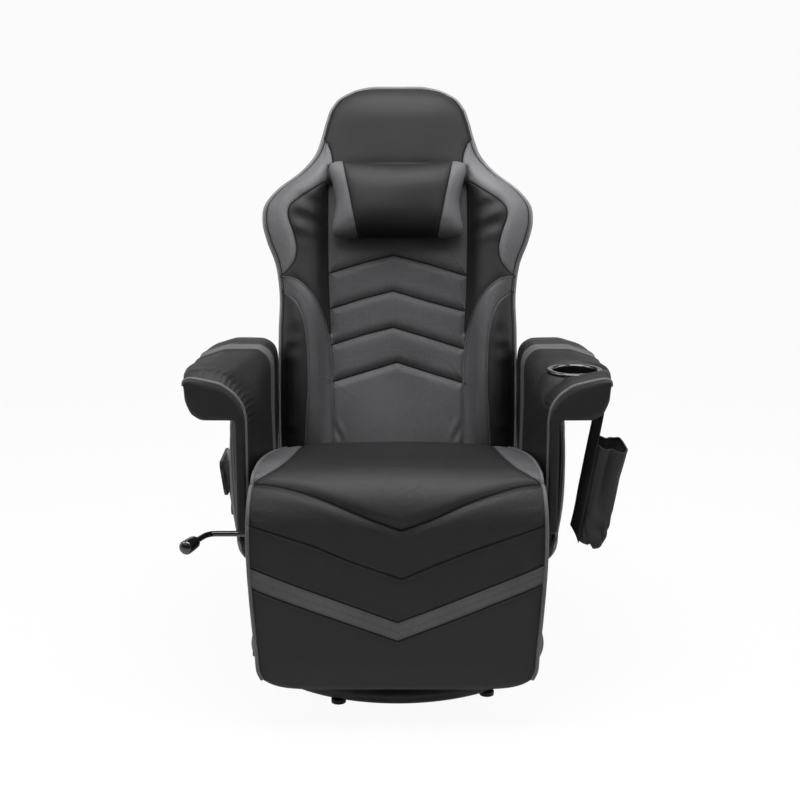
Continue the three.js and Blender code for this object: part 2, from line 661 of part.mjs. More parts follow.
// [centre, panel edge, groove] of the rows; the channel seams run in an upturned V.
const backRowShares = [
  [-0.053, -0.053, 0], [0, 0, 0], [0.07, 0.065, 0], [0.14, 0.12, 0], [0.19, 0.16, 0],
  [0.2, 0.172, 0], [0.212, 0.184, 1], [0.224, 0.196, 0],
  [0.3, 0.275, 0], [0.312, 0.287, 1], [0.324, 0.299, 0],
  [0.405, 0.38, 0], [0.417, 0.392, 1], [0.429, 0.404, 0],
  [0.505, 0.48, 0], [0.517, 0.492, 1], [0.529, 0.504, 0],
  [0.575, 0.56, 0], [0.62, 0.612, 0], [0.665, 0.662, 0], [0.705, 0.705, 0], [0.755, 0.755, 0],
  [0.82, 0.82, 0], [0.89, 0.89, 0], [0.94, 0.94, 0], [0.972, 0.972, 0], [0.992, 0.992, 0], [1, 1, 0],
];
// [share of the panel then of the bolster, share of its rise]
const bolsterColumnShares = [[0.06, 0.12], [0.25, 0.75], [0.5, 1], [0.75, 0.85], [0.93, 0.35], [1, 0]];

const panelShare = 0.72; // the centre panel is never wider than this share of the back
const capShare = 0.9; // the top of the outline, which an inset lowers
function halfAt(place) {
  return back.halfWidth * smooth(outlineShares, place);
}

function frontDepth(share, across, rowShare, groove) {
  const panel = back.panelDepth * smooth(panelShares, rowShare);
  const bolster = back.bolster * smooth(bolsterShares, rowShare);
  if (share <= 1) return panel + (1 - share * share) * back.edgeDepth - groove * back.groove * (1 - share ** 8);
  const rise = smooth([[0, 0], ...bolsterColumnShares], across);
  const edge = mix(panel, back.edgeDepth, across);
  return Math.max(edge + (bolster - edge) * rise, back.edgeDepth);
}

// The rings of the back's front surface, moved forward by a clearance.
function backRings(clear) {
  const centreShares = [0, 0.35, 0.7, 0.93];
  const rearPlane = -back.framePlane + back.tube + gap;
  return backRowShares.map(([middle, edge, groove]) => {
    const half = halfAt(middle);
    const panel = Math.min(back.panel, half * panelShare);
    const place = (share) => mix(middle, edge, Math.min(share, 1)) * back.height;
    const right = [
      ...centreShares.map((share) => [share * panel, place(share), frontDepth(share, 0, middle, groove)]),
      [panel, place(1), frontDepth(1, 0, middle, 0) - back.groove],
      ...bolsterColumnShares.map(([across]) => [
        mix(panel, half, across),
        mix(place(1), middle * back.height, across),
        frontDepth(2, across, middle, 0),
      ]),
    ].map(([x, up, out]) => [x, up, out + clear]);
    const full = [...right, [half, middle * back.height, rearPlane]];
    const left = full.slice(1).map(([x, up, out]) => [-x, up, out]).reverse();
    return [...full, ...left].map(([x, up, out]) => onBack(x, up, out));
  });
}

function backCushion() {
  add("back_cushion", loft(backRings(0)), "leather");
}

// Closed outline of the back in its own plane, drawn in by an inset.
function backOutline(inset, tail) {
  const rows = outlineShares.filter(([place]) => place >= 0).map(([place]) => place);
  const sideOf = (sign) => [-tail / back.height, ...rows].map((place) => {
    const lower = inset * Math.max((place - capShare) / (1 - capShare), 0);
    return new THREE.Vector2(
      sign * Math.max(halfAt(place) - inset, back.edgeDepth),
      place * back.height - lower,
    );
  });
  return new THREE.Shape([...sideOf(1), ...sideOf(-1).reverse()]);
}

function layOnBack(geometry, out) {
  return geometry.translate(0, 0, out).rotateX(inward - backLean).translate(0, ...back.foot);
}

function backShell() {
  const frontPlane = -back.framePlane + back.tube;
  const depth = back.rear + frontPlane;
  const made = (shape, from, thick, bevel) => new THREE.ExtrudeGeometry(shape, {
    depth: thick, bevelEnabled: bevel > 0, bevelThickness: bevel, bevelSize: bevel, bevelOffset: -bevel,
    bevelSegments: 2, curveSegments: round.coarse,
  }).translate(0, 0, from);
  const outer = made(backOutline(0, back.tail), -back.rear + back.wall, depth - back.wall, 0);
  const edge = back.wall / 2 - gap;
  const cap = made(backOutline(0, back.tail), -back.rear + edge, back.wall - 2 * edge, edge);
  const pocket = made(backOutline(back.wall, back.tail + overrun), -back.rear + back.wall, depth, 0);
  const shell = cutBy(joined(outer, cap), pocket);
  add("back_shell", layOnBack(shell, 0), "leather");
}

// A round tube through places in the back's own plane, mitred at each turn.
function backTube(places, radius, out) {
  const sides = round.coarse / 2;
  return loft(places.map(([x, up], i) => {
    const before = places[Math.max(i - 1, 0)];
    const after = places[Math.min(i + 1, places.length - 1)];
    const first = Math.atan2(up - before[1], x - before[0]);
    const second = Math.atan2(after[1] - up, after[0] - x);
    const [from, to] = [i === 0 ? second : first, i === places.length - 1 ? first : second];
    const across = (from + to) / 2 + inward;
    const wide = radius / Math.cos((to - from) / 2);
    return steps(sides).slice(1).map((t) => {
      const turn = (t + 0.5 / sides) * Math.PI * 2; // an edge of the tube faces the cushion
      const side = wide * Math.cos(turn);
      return onBack(x + side * Math.cos(across), up + side * Math.sin(across), out + radius * Math.sin(turn));
    });
  }));
}

function backFrame() {
  const b = back;
  const out = -b.framePlane;
  const footHeight = crossbar.place[1] + crossbar.radius * 0.4;
  const foot = (footHeight - b.foot[1] - out * Math.sin(backLean)) / Math.cos(backLean);
  const rightSide = [
    [b.frameHalf, foot], [b.frameHalf, b.shoulder], [b.frameHalfTop, b.neck], [b.frameHalfTop, b.frameHeight],
  ];
  const leftSide = rightSide.map(([x, up]) => [-x, up]).reverse();
  const tube = backTube([...rightSide, ...leftSide], b.tube, out);
  const brace = backTube([[-b.frameHalf, b.brace], [b.frameHalf, b.brace]], b.braceTube, out);
  const reach = bracketInner - gap;
  const lower = bar("x", crossbar.radius, -reach, reach, crossbar.place);
  const leverLow = strut.eyeHalf + gap;
  const leverArm = plate(
    hullOutline([[...crossbar.place, crossbar.lug], [...strut.rear, strut.eye]]),
    leverLow, leverLow + strut.ear,
  );
  const leverPin = bar("x", strut.pin, -leverLow, leverLow + strut.ear / 2, strut.rear);
  add("back_frame", joined(tube, brace, lower, leverArm, leverPin), "steel");
  const [backY, backZ] = pivot.back;
  const bracket = plate(
    hullOutline([[backY, backZ, backBracket.boss], [...crossbar.place, backBracket.boss]]),
    bracketInner, bracketOuter,
    [[backY, backZ, pin.radius + pin.clearance]],
  );
  add("back_bracket_right", bracket, "steel");
  add("back_bracket_left", mirrored(bracket), "steel");
}

// Locking strut: the cylinder hangs on the chassis ear, the rod ends at the back's lever.
function lockStrut() {
  const [fromY, fromZ] = strut.front;
  const [toY, toZ] = strut.rear;
  const length = Math.hypot(toY - fromY, toZ - fromZ);
  const turn = Math.atan2(toZ - fromZ, toY - fromY);
  const lay = (geometry) => geometry.rotateX(turn).translate(0, fromY, fromZ);
  // The rod slides in by this much when the back is all the way down.
  const [backY, backZ] = pivot.back;
  const swung = new THREE.Vector2(toY, toZ).rotateAround(new THREE.Vector2(backY, backZ), -rad(travelAngles.recline));
  const stroke = length - Math.hypot(swung.x - fromY, swung.y - fromZ);
  const half = strut.eyeHalf;
  const barrelStart = strut.eye + gap;
  const eyeEnd = (radius, y, hole) => cutBy(
    bar("x", radius, -half, half, [y, 0]), bar("x", hole, -half - overrun, half + overrun, [y, 0]),
  );
  const hole = strut.pin + pin.clearance;
  const rodStart = strut.body - strut.overlap;
  const barrel = bar("y", strut.cylinder, barrelStart, strut.body, [0, 0]);
  const socket = bar("y", strut.rod + pin.clearance, rodStart - stroke - pin.clearance, strut.body + overrun, [0, 0]);
  const neck = bar("y", half, (strut.eye + hole) / 2, barrelStart + overrun, [0, 0]);
  const cylinder = joined(eyeEnd(strut.eye, 0, hole), cutBy(barrel, socket), neck);
  add("strut_cylinder", lay(cylinder), "steel");
  const rodEye = strut.eye + strut.slop;
  const rod = bar("y", strut.rod, rodStart, length - rodEye + strut.slop / 2, [0, 0]);
  add("strut_rod", lay(joined(rod, eyeEnd(rodEye, length, strut.pin + strut.slop))), "zinc");
}

// Head pillow: rows up its height, waisted at the sides, sagging along its top edge.
function headPillow() {
  const p = pillow;
  const shares = [0, 0.4, 0.75, 0.93, 1];
  const floorDepth = (up) => frontDepth(0, 0, up / back.height, 0) + p.strap + 2 * gap;
  const rows = [-1, -0.96, -0.8, -0.45, 0, 0.45, 0.8, 0.96, 1];
  const rest = Math.max(...steps(24).map((t) => floorDepth(p.centre + mix(-1, 1, t) * p.halfHeight)));
  const rings = rows.map((row) => {
    const half = mix(p.halfWaist, p.halfEnd, row * row);
    const swell = Math.sqrt(Math.max(1 - Math.abs(row) ** 3, 0));
    const line = (share, front) => {
      const blunt = Math.sqrt(Math.max(1 - Math.abs(share) ** 5, 0));
      const dip = row > 0 ? -p.sag * (1 - share * share) * row : 0;
      const rise = p.edge * mix(0.6, 1, blunt) + (p.thickness - p.edge) * swell * blunt;
      const out = front ? rest + rise : rest;
      return onBack(share * half, p.centre + row * p.halfHeight + dip, out);
    };
    return [
      ...bothSides(shares).map((share) => line(share, true)),
      ...[1, -1].map((share) => line(share, false)),
    ];
  });
  add("head_pillow", cutBy(loft(rings), loft(backRings(p.bolsterClearance))), "leather");
  return rest;
}

// Elastic strap behind the pillow: it fills the space to the back's face between the bolsters.
function pillowStrap(rest) {
  const p = pillow;
  const middle = p.centre + p.halfHeight * p.strapShare;
  const rings = [-0.5, 0.5].map((t) => [
    [-p.halfEnd, 0], [p.halfEnd, 0], [p.halfEnd, rest - gap], [-p.halfEnd, rest - gap],
  ].map(([x, out]) => onBack(x, middle + t * p.strapWidth, out)));
  add("pillow_strap", cutBy(loft(rings), loft(backRings(gap))), "fabric");
}

// Arms: board inside, pad over it, panel outside
const armRowShares = [
  // place along the arm, inner wall drawn out, height, roundness of the end
  [0, 0, 0.94, 0.955], [0.012, 0, 1, 0.99], [0.05, 0.08, 1, 1], [0.051, 0.1, 1, 1],
  [0.15, 0.5, 1, 1], [0.35, 1, 0.985, 1], [0.6, 1, 0.96, 1], [0.8, 1, 0.88, 1], [0.92, 1, 0.76, 0.985],
  [0.98, 1, 0.6, 0.95], [1, 1, 0.35, 0.9],
];

// The crown over the inner shoulder grows between these two places along the arm.
const armGrowShares = [0.16, 0.5];

// The two ends of the slanted stretch under the arm's outer edge.
function armUnderside() {
  return [[armOuter - arm.tipRound, arm.under], [armOuter - arm.tipRound * 0.4, arm.under + arm.tipRise]];
}

function armPad() {
  const a = arm;
  const length = a.rear - a.front;
  const [growFrom, growTo] = armGrowShares;
  const rings = armRowShares.map(([t, draw, rise, tuck], k) => {
    const y = a.front + t * length;
    const inner = mix(a.innerFront, a.innerMid, draw);
    const grow = Math.min(Math.max((t - growFrom) / (growTo - growFrom), 0), 1);
    const corner = mix(a.corner, a.cornerMid, grow);
    const facing = k <= 2;
    const wallOuter = facing ? a.board + a.boardThickness + gap : a.board - gap;
    const top = (x) => {
      const across = (x - inner) / (armOuter - inner);
      const base = mix(a.innerThick, mix(a.tipThick, a.tipMid, grow), across);
      const bow = Math.sin(Math.PI * across);
      const crown = a.crownRise * bow * (facing ? 0.3 : 1) + a.innerRise * (1 - across) * grow;
      return a.under + (base + crown) * rise;
    };
    const outer = mix(inner, armOuter, tuck);
    const height = top(outer) - a.under;
    const wallTop = top(inner + corner * 0.3) - corner;
    const points = [
      [inner, a.wallBottom], [inner, mix(a.wallBottom, wallTop, 0.6)], [inner, wallTop],
      [inner + corner * 0.1, wallTop + corner * 0.45],
      [inner + corner * 0.35, wallTop + corner * 0.82],
      [inner + corner * 0.8, top(inner + corner * 0.8)],
      [mix(inner, outer, 0.6), top(mix(inner, outer, 0.6))],
      [outer - a.tipRound * 0.4, top(outer - a.tipRound * 0.4)],
      [outer, a.under + height * 0.9], [outer - a.tipRound * 0.07, a.under + height * 0.45],
      [outer - a.tipRound * 0.4, a.under + a.tipRise], [outer - a.tipRound, a.under],
      [a.board + a.boardThickness + gap, a.under], [wallOuter, a.under - (facing ? a.step : 0)],
      [wallOuter, a.wallBottom],
    ];
    return points.map(([x, z]) => vector(x, y, z));
  });
  return loft(rings);
}

function armBoard(holes) {
  const a = arm;
  const rear = a.boardRear;
  const outline = [
    [rear, a.boardBottom], [rear, a.under - gap], [a.boardFront, a.under - gap],
    [a.boardFront, a.wallBottom], [sidePanel.front, a.wallBottom],
    [sidePanel.front, a.cornerTop], [a.cornerRear, a.boardBottom],
  ];
  return plate(outline, a.board, a.board + a.boardThickness, holes);
}

// Half of the side panel's bulge as shares: [height, reach], with the reach at the foot drawn in.
const panelRowShares = [
  [0, 0.2], [0.03, 0.42], [0.14, 0.62], [0.3, 0.86], [0.55, 1], [0.8, 0.95], [0.93, 0.78], [1, 0.35],
];

function sidePanelShape() {
  const s = sidePanel;
  const inner = arm.board + arm.boardThickness + gap;
  const rings = panelRowShares.map(([t, reach]) => {
    const foot = (c) => s.bottom + s.frontRise * Math.max(1 - c / s.riseShare, 0) ** 2;
    const height = (c) => mix(foot(c), arm.under - s.topGap, t);
    const bulge = (s.bulge - inner) * reach;
    const columns = [0, 0.02, 0.1, 0.3, 0.5, 0.7, 0.9, 0.98, 1];
    const front = columns.map((c) => {
      const fall = 1 - Math.abs(2 * c - 1) ** 3;
      const out = Math.max(bulge * mix(0.35, 1, fall), s.edge);
      return vector(inner + out, mix(s.front, s.rear, c), height(c));
    });
    return [...front, vector(inner, s.rear, height(1)), vector(inner, s.front, height(0))];
  });
  return loft(rings);
}

function arms() {
  const a = arm;
  const cupCentre = [a.board + cup.inboard, cup.along];
  const cupTop = a.under + cup.lift;
  const seatOn = cupTop - cup.flangeThickness - gap;
  const cupHole = bar("z", cup.inner + cup.wall + gap, cupTop - cup.depth - gap, cupTop + cup.depth, cupCentre,
    round.fine);
  const recess = bar("z", cup.flange + gap, seatOn, cupTop + cup.depth, cupCentre, round.fine);
  const rightPad = cutBy(armPad(), cupHole, recess);
  add("arm_pad_right", rightPad, "leather");
  add("arm_pad_left", mirrored(armPad()), "leather");
  const shaft = torqueTube.radius + torqueTube.clearance;
  add("arm_board_right", armBoard([]), "wood");
  add("arm_board_left", mirrored(armBoard([[...pivot.torque, shaft]])), "wood");
  add("side_panel_right", sidePanelShape(), "leather");
  const hole = bar("x", shaft, a.board, sidePanel.bulge + overrun, pivot.torque);
  add("side_panel_left", mirrored(cutBy(sidePanelShape(), hole)), "leather");
  const floor = cupTop - cup.depth;
  add("cup_holder", lathe([
    [0, floor], [cup.inner + cup.wall, floor], [cup.inner + cup.wall, cupTop - cup.flangeThickness],
    [cup.flange, cupTop - cup.flangeThickness], [cup.flange, cupTop], [cup.inner, cupTop],
    [cup.inner, floor + cup.floor], [0, floor + cup.floor],
  ]).translate(...cupCentre, 0), "plastic");
}

// Release lever: a rod through the left side plate, bent forward to its knob.
function releaseLever() {
  const [y0, z0] = lever.place;
  const [knobX, knobY, knobZ] = lever.knobPlace;
  const inside = -lever.inside;
  const knobStart = vector(knobX, knobY, knobZ);
  const route = new THREE.CurvePath();
  const elbow = vector(-lever.bend, y0, z0);
  const inboard = vector(inside, y0, z0);
  const towards = knobStart.clone().sub(elbow).normalize();
  const bendStart = elbow.clone().add(vector(lever.bendReach, 0, 0));
  const bendEnd = elbow.clone().addScaledVector(towards, lever.bendReach);
  route.add(new THREE.LineCurve3(inboard, bendStart));
  route.add(new THREE.QuadraticBezierCurve3(bendStart, elbow, bendEnd));
  route.add(new THREE.LineCurve3(bendEnd, knobStart.clone().addScaledVector(towards, -gap)));
  const section = new THREE.Shape(steps(10).slice(1).map((t) => new THREE.Vector2(
    lever.rod * Math.cos(t * Math.PI * 2), lever.rod * Math.sin(t * Math.PI * 2),
  )));
  const rod = new THREE.ExtrudeGeometry(section, { extrudePath: route, steps: 24, bevelEnabled: false });
  const flag = plate(hullOutline([[y0, z0, lever.bush], [y0, z0 - lever.crankReach, lever.rod]]),
    inside - plateThickness + pin.root, inside + pin.root);
  add("release_lever", joined(rod, flag), "plastic");
  const r = lever.knob;
  const l = lever.knobLength;
  const knob = new THREE.LatheGeometry([
    [0, 0], [r * 0.62, 0], [r * 0.95, l * 0.1], [r, l * 0.22], [r, l * 0.66], [r * 0.93, l * 0.82],
    [r * 0.7, l * 0.94], [r * 0.35, l], [0, l],
  ].map(([x, y]) => new THREE.Vector2(x, y)), round.coarse);
  const spin = new THREE.Quaternion().setFromUnitVectors(vector(0, 1, 0), towards);
  knob.applyQuaternion(spin).translate(knobX, knobY, knobZ);
  const merged = bare(knob);
  add("lever_knob", volume(merged) < 0 ? turned(merged) : merged, "plastic");
}

// Pouch: a hanging panel with an open pocket on its outer side.
function pouchPieces() {
  const p = pouch;
  // The sheet's top edge is a bead that hangs just clear of the arm's curved underside.
  const under = armUnderside();
  const slope = Math.atan2(under[1][1] - under[0][1], under[1][0] - under[0][0]);
  const off = p.sheet / 2 + p.seat;
  const hingeX = mix(under[0][0], under[1][0], p.along) + off * Math.sin(slope);
  const hingeZ = mix(under[0][1], under[1][1], p.along) - off * Math.cos(slope);
  console.log("pouch hinge at", hingeX.toFixed(3), hingeZ.toFixed(3));
  const low = p.centre - p.depth / 2;
  const high = p.centre + p.depth / 2;
  const hang = (geometry) => geometry.rotateY(rad(p.tilt)).translate(hingeX, 0, hingeZ);
  const panel = box([-p.sheet / 2, low, -p.height], [p.sheet / 2, high, 0]);
  add("pouch_panel", hang(joined(panel, bar("y", p.sheet / 2, low, high, [0, 0]))), "fabric");
  const face = p.sheet / 2 + gap;
  const top = -p.pocketTop;
  const taper = (inset, from, to) => {
    const ringAt = (z, share) => {
      const out = face + p.pocket * share - inset;
      const near = face + inset;
      const narrow = (1 - share) * p.depth * 0.08;
      return [
        vector(near, low + inset + narrow, z), vector(out, low + inset + narrow, z),
        vector(out, high - inset - narrow, z), vector(near, high - inset - narrow, z),
      ];
    };
    const rows = [[to, 1], [mix(from, to, 0.5), 0.96], [from, p.bottomShare]];
    return loft(rows.map(([z, share]) => ringAt(z, share)));
  };
  const pocket = cutBy(taper(0, -p.height, top), taper(p.wall, -p.height + p.wall, top + overrun));
  add("pouch_pocket", hang(pocket), "fabric");
}

base();
chassisPieces();
sidePlates();
seatFramePieces();
seatCushion();
legRestPad();
legRestFrame();
drive();
paddleHandle();
backCushion();
backShell();
backFrame();
lockStrut();
pillowStrap(headPillow());
arms();
releaseLever();
pouchPieces();

// The part's origin is the middle of its bounding box, at floor level.
const bounds = new THREE.Box3().setFromObject(root, true);
const middle = bounds.getCenter(new THREE.Vector3());
const part = new THREE.Group();
root.position.set(-middle.x, -middle.y, -bounds.min.z);
part.add(root);
console.log("swivel axis at", root.position.toArray().map((v) => v.toFixed(3)).join(" "));
console.log("size", bounds.getSize(new THREE.Vector3()).toArray().map((v) => v.toFixed(1)).join(" "));

export default part;
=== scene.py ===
# %% [markdown]
# # A racing-style recliner, dressed over its engineering frame
#
# The frame is a set of plain solids: steel, boards, and one closed solid for each cushion. This
# lesson puts leather, piping, seams and gloss over it. Every surface is a formula on a grid of
# two parameters, worked out with numpy and handed to Blender as one mesh, because a formula keeps
# its curves at any density and can be changed in one place.

# %% Load the frame
import math
import bpy
import numpy as np
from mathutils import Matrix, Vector


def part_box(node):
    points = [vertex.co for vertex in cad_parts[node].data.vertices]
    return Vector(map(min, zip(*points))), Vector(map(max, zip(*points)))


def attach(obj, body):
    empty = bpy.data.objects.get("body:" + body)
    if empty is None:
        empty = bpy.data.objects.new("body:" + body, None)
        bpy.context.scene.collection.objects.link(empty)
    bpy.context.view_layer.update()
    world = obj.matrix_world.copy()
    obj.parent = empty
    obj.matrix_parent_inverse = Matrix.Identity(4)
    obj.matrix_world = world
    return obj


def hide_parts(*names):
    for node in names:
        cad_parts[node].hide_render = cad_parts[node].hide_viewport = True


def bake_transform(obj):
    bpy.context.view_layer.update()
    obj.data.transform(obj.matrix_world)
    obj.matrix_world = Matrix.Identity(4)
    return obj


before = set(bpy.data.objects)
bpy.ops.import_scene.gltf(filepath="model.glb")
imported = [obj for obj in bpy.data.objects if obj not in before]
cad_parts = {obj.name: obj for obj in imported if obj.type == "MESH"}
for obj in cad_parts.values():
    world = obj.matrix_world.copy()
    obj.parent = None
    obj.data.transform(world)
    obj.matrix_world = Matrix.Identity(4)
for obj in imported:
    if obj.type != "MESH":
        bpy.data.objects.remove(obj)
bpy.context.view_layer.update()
ring_low, ring_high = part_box("base_ring")
axis = np.array([(ring_low.x + ring_high.x) / 2, (ring_low.y + ring_high.y) / 2, 0])

# %% [markdown]
# ## Units
#
# The chair was measured in millimetres from the axis it swivels on, with X to the viewer's right,
# Y away from the viewer and Z up. Blender works in metres. One small function does the change, so
# that every number below can be read with a ruler in mind.


# %% From millimetres about the swivel axis to the frame's metres
def place(points):
    """Millimetres divided by a thousand, moved to where the frame has its swivel axis."""
    return np.asarray(points, float) / 1000 + axis


# %% [markdown]
# ## Camera
#
# The chair was photographed from about three metres, a little above its head, looking slightly
# down, with a longish lens. The camera comes first, because each later choice is judged through
# it. The focal length is written in pixels of the square picture, as a camera fit gives it.

# %% Camera
focal_pixels, picture_pixels, sensor_width, tilt_down = 1476, 800, 36, 0.2254
camera_data = bpy.data.cameras.new("Camera")
camera_data.sensor_width = sensor_width
camera_data.lens = sensor_width * focal_pixels / picture_pixels
camera = bpy.data.objects.new("Camera", camera_data)
camera.location = place([5, -2857, 1181])
camera.rotation_euler = (math.pi / 2 - tilt_down, 0, 0)
bpy.context.scene.collection.objects.link(camera)
bpy.context.scene.camera = camera
print("camera", [round(v, 3) for v in camera.location], "lens", round(camera_data.lens, 1))

# %% [markdown]
# ## Shader arithmetic
#
# A procedural finish is a formula too. Wiring forty Math nodes by hand hides it, so a wire knows
# how to add, subtract, multiply and divide, and each use of an operator adds the right node.


# %% Wires that can be calculated with
class Wire:
    """One output socket. The operators + - * / and ** put Math nodes behind it."""

    def __init__(self, graph, socket):
        self.graph, self.socket = graph, socket

    def maths(self, operation, *others):
        """A Math node that takes this wire first."""
        return self.graph.node("ShaderNodeMath", {"operation": operation}, dict(enumerate((self, *others))))

    def __add__(self, other):
        return self.maths("ADD", other)

    def __sub__(self, other):
        return self.maths("SUBTRACT", other)

    def __rsub__(self, other):
        return self.graph.node("ShaderNodeMath", {"operation": "SUBTRACT"}, {0: other, 1: self})

    def __mul__(self, other):
        return self.maths("MULTIPLY", other)

    def __truediv__(self, other):
        return self.maths("DIVIDE", other)

    def __pow__(self, other):
        return self.maths("POWER", other)

    __radd__, __rmul__ = __add__, __mul__

    def between(self, low, high):
        """0 below low, 1 above high, and a smooth step from one to the other."""
        return self.graph.node("ShaderNodeMapRange", {"interpolation_type": "SMOOTHSTEP"},
                               {"Value": self, "From Min": low, "From Max": high})


class Graph:
    """A node tree that grows by one node a call."""

    def __init__(self, tree):
        self.tree = tree

    def node(self, kind, settings=None, inputs=None, output=0):
        """Adds a node: its settings first, then a value or a wire for each input named."""
        made = self.tree.nodes.new(kind)
        for name, value in (settings or {}).items():
            setattr(made, name, value)
        for name, value in (inputs or {}).items():
            self.join(value, made.inputs[name])
        return Wire(self, made.outputs[output])

    def join(self, value, socket):
        if isinstance(value, Wire):
            self.tree.links.new(value.socket, socket)
        elif socket.type == "RGBA" and len(value) == 3:
            socket.default_value = (*value, 1)
        else:
            socket.default_value = value

    def split(self, vector):
        """The three numbers of a vector."""
        first = self.node("ShaderNodeSeparateXYZ", {}, {0: vector})
        return [Wire(self, socket) for socket in first.socket.node.outputs]

    def ray(self, kind):
        """1 for light paths of one kind, and 0 for the others."""
        return self.node("ShaderNodeLightPath", output=f"Is {kind} Ray")


class Finish(Graph):
    """A material being made, with the slot that its pieces take: its nodes lead to a Principled shader."""

    def __init__(self, name, slot=None, **shader):
        self.material = bpy.data.materials.new(name)
        self.material.use_nodes = True
        super().__init__(self.material.node_tree)
        self.slot = slot
        self.shader = self.tree.nodes["Principled BSDF"]
        for socket, value in shader.items():
            self.shader.inputs[socket.replace("_", " ")].default_value = value

    def where(self):
        return self.node("ShaderNodeTexCoord", output="Object")

    def field(self, name, output="Fac"):
        """A number that the mesh carries at each of its points."""
        return self.node("ShaderNodeAttribute", {"attribute_name": name}, output=output)

    def skin(self):
        """The two numbers, in metres, of the place on the piece's own surface."""
        return self.split(self.field("skin", "Vector"))[:2]

    def noise(self, scale, detail=2, rough=0.5, where=None):
        return self.node("ShaderNodeTexNoise", {}, {
            "Vector": where or self.where(), "Scale": scale, "Detail": detail, "Roughness": rough})

    def blend(self, factor, first, second):
        """A colour that goes from the first to the second as the factor goes from 0 to 1."""
        return self.node("ShaderNodeMix", {"data_type": "RGBA"}, {0: factor, 6: first, 7: second}, 2)

    def surface(self, **wires):
        for name, value in wires.items():
            self.join(value, self.shader.inputs[name.replace("_", " ")])

    def bump(self, height, metres, strength=1.0):
        normal = self.node("ShaderNodeBump", {}, {"Height": height, "Distance": metres, "Strength": strength})
        self.join(normal, self.shader.inputs["Normal"])


def linear(level):
    """The light that an sRGB level from 0 to 255 stands for."""
    share = level / 255
    return share / 12.92 if share <= 0.04045 else ((share + 0.055) / 1.055) ** 2.4


def grey(red, green=None, blue=None):
    """A colour from three levels, or from one for all three."""
    return tuple(linear(red if level is None else level) for level in (red, green, blue))


def scaled(colour, share):
    return tuple(share * part for part in colour)


print("wires and finishes are ready")

# %% [markdown]
# ## Floor and light
#
# A product picture has no horizon: the floor bends up into the wall. It shines white to the
# camera and a little to mirrors, and is a plain pale grey to the chair, so the chair isn't lit
# from below. Mirrors see a white room behind the chair and a dark one before it. Two soft lamps
# above the camera, one overhead and one at each side keep the black leather readable by their
# broad reflections.


# %% Floor, sweep and lamps
floor_front, sweep_start, sweep_radius, wall_top, floor_half = -1.7, 3.0, 1.5, 9.0, 9.0


def backdrop():
    """A floor strip whose profile is a line, a quarter circle and a line upwards."""
    turn = np.linspace(0, math.pi / 2, 13)
    wall_at = sweep_start + sweep_radius
    along = np.concatenate([[floor_front], sweep_start + sweep_radius * np.sin(turn), [wall_at]])
    height = np.concatenate([[0.0], sweep_radius * (1 - np.cos(turn)), [wall_top]])
    across = np.array([-floor_half, floor_half])
    points = np.stack(np.broadcast_arrays(across, along[:, None], height[:, None]), -1).reshape(-1, 3)
    row = np.arange(len(along) - 1)[:, None] * 2
    faces = np.concatenate([row, row + 1, row + 3, row + 2], 1)
    mesh = bpy.data.meshes.new("backdrop")
    mesh.from_pydata(points.tolist(), [], faces.tolist())
    mesh.polygons.foreach_set("use_smooth", [True] * len(faces))
    made = bpy.data.objects.new("backdrop", mesh)
    bpy.context.scene.collection.objects.link(made)
    return made


room = Finish("backdrop paint", Roughness=0.95, Specular_IOR_Level=0.1, Base_Color=(0.8, 0.8, 0.8, 1))
seen = room.ray("Camera") * 0.94 + room.ray("Glossy") * 0.2
glow = room.node("ShaderNodeEmission", {}, {"Color": (1.0, 1.0, 1.0), "Strength": 1.0})
shown = room.node("ShaderNodeMixShader", {}, {0: seen, 1: Wire(room, room.shader.outputs[0]), 2: glow})
room.tree.links.new(shown.socket, room.tree.nodes["Material Output"].inputs["Surface"])
backdrop().data.materials.append(room.material)

world = bpy.data.worlds.new("Studio")
world.use_nodes = True
sky = world.node_tree.nodes["Background"]
air = Graph(world.node_tree)
behind = air.split(air.node("ShaderNodeTexCoord", output="Generated"))[1].between(-0.5, 0.15)
level = air.ray("Camera") * 0.9 + air.ray("Glossy") * behind + air.ray("Transmission") * 0.8 + 0.1
air.join(level, sky.inputs["Strength"])
sky.inputs["Color"].default_value = (1, 1, 1, 1)
bpy.context.scene.world = world
bpy.context.scene.view_settings.view_transform = "Standard"


def lamp(name, where, aim, size, watts):
    """A square area lamp at a place, turned to face its aim."""
    data = bpy.data.lights.new(name, "AREA")
    data.shape, data.size, data.energy = "SQUARE", size, watts
    made = bpy.data.objects.new(name, data)
    made.location = where
    direction = Vector(aim) - made.location
    made.rotation_euler = direction.to_track_quat("-Z", "Y").to_euler()
    bpy.context.scene.collection.objects.link(made)


lamp("key", (-1.7, -2.3, 2.7), (0, 0, 0.7), 1.9, 12)
lamp("fill", (1.7, -2.3, 2.7), (0, 0, 0.7), 1.9, 9)
lamp("top", (0, -0.5, 2.6), (0, 0.1, 0.7), 1.6, 66)
lamp("left side", (-2.3, -0.4, 2.7), (0, 0, 0.7), 1.5, 34)
lamp("right side", (2.3, -0.4, 2.7), (0, 0, 0.7), 1.5, 32)
print("room: backdrop, world and 5 lamps")

# %% [markdown]
# ## From grids to meshes
#
# Each soft piece is a stack of closed rings: one parameter runs round a ring, the other from ring
# to ring. The same few helpers turn such stacks into meshes, carry numbers on their points for
# the finishes to read, and check that the faces look outwards. A piece whose front alone has
# seams gives the front's numbers, and the rest of each ring gets a number that means "far away".


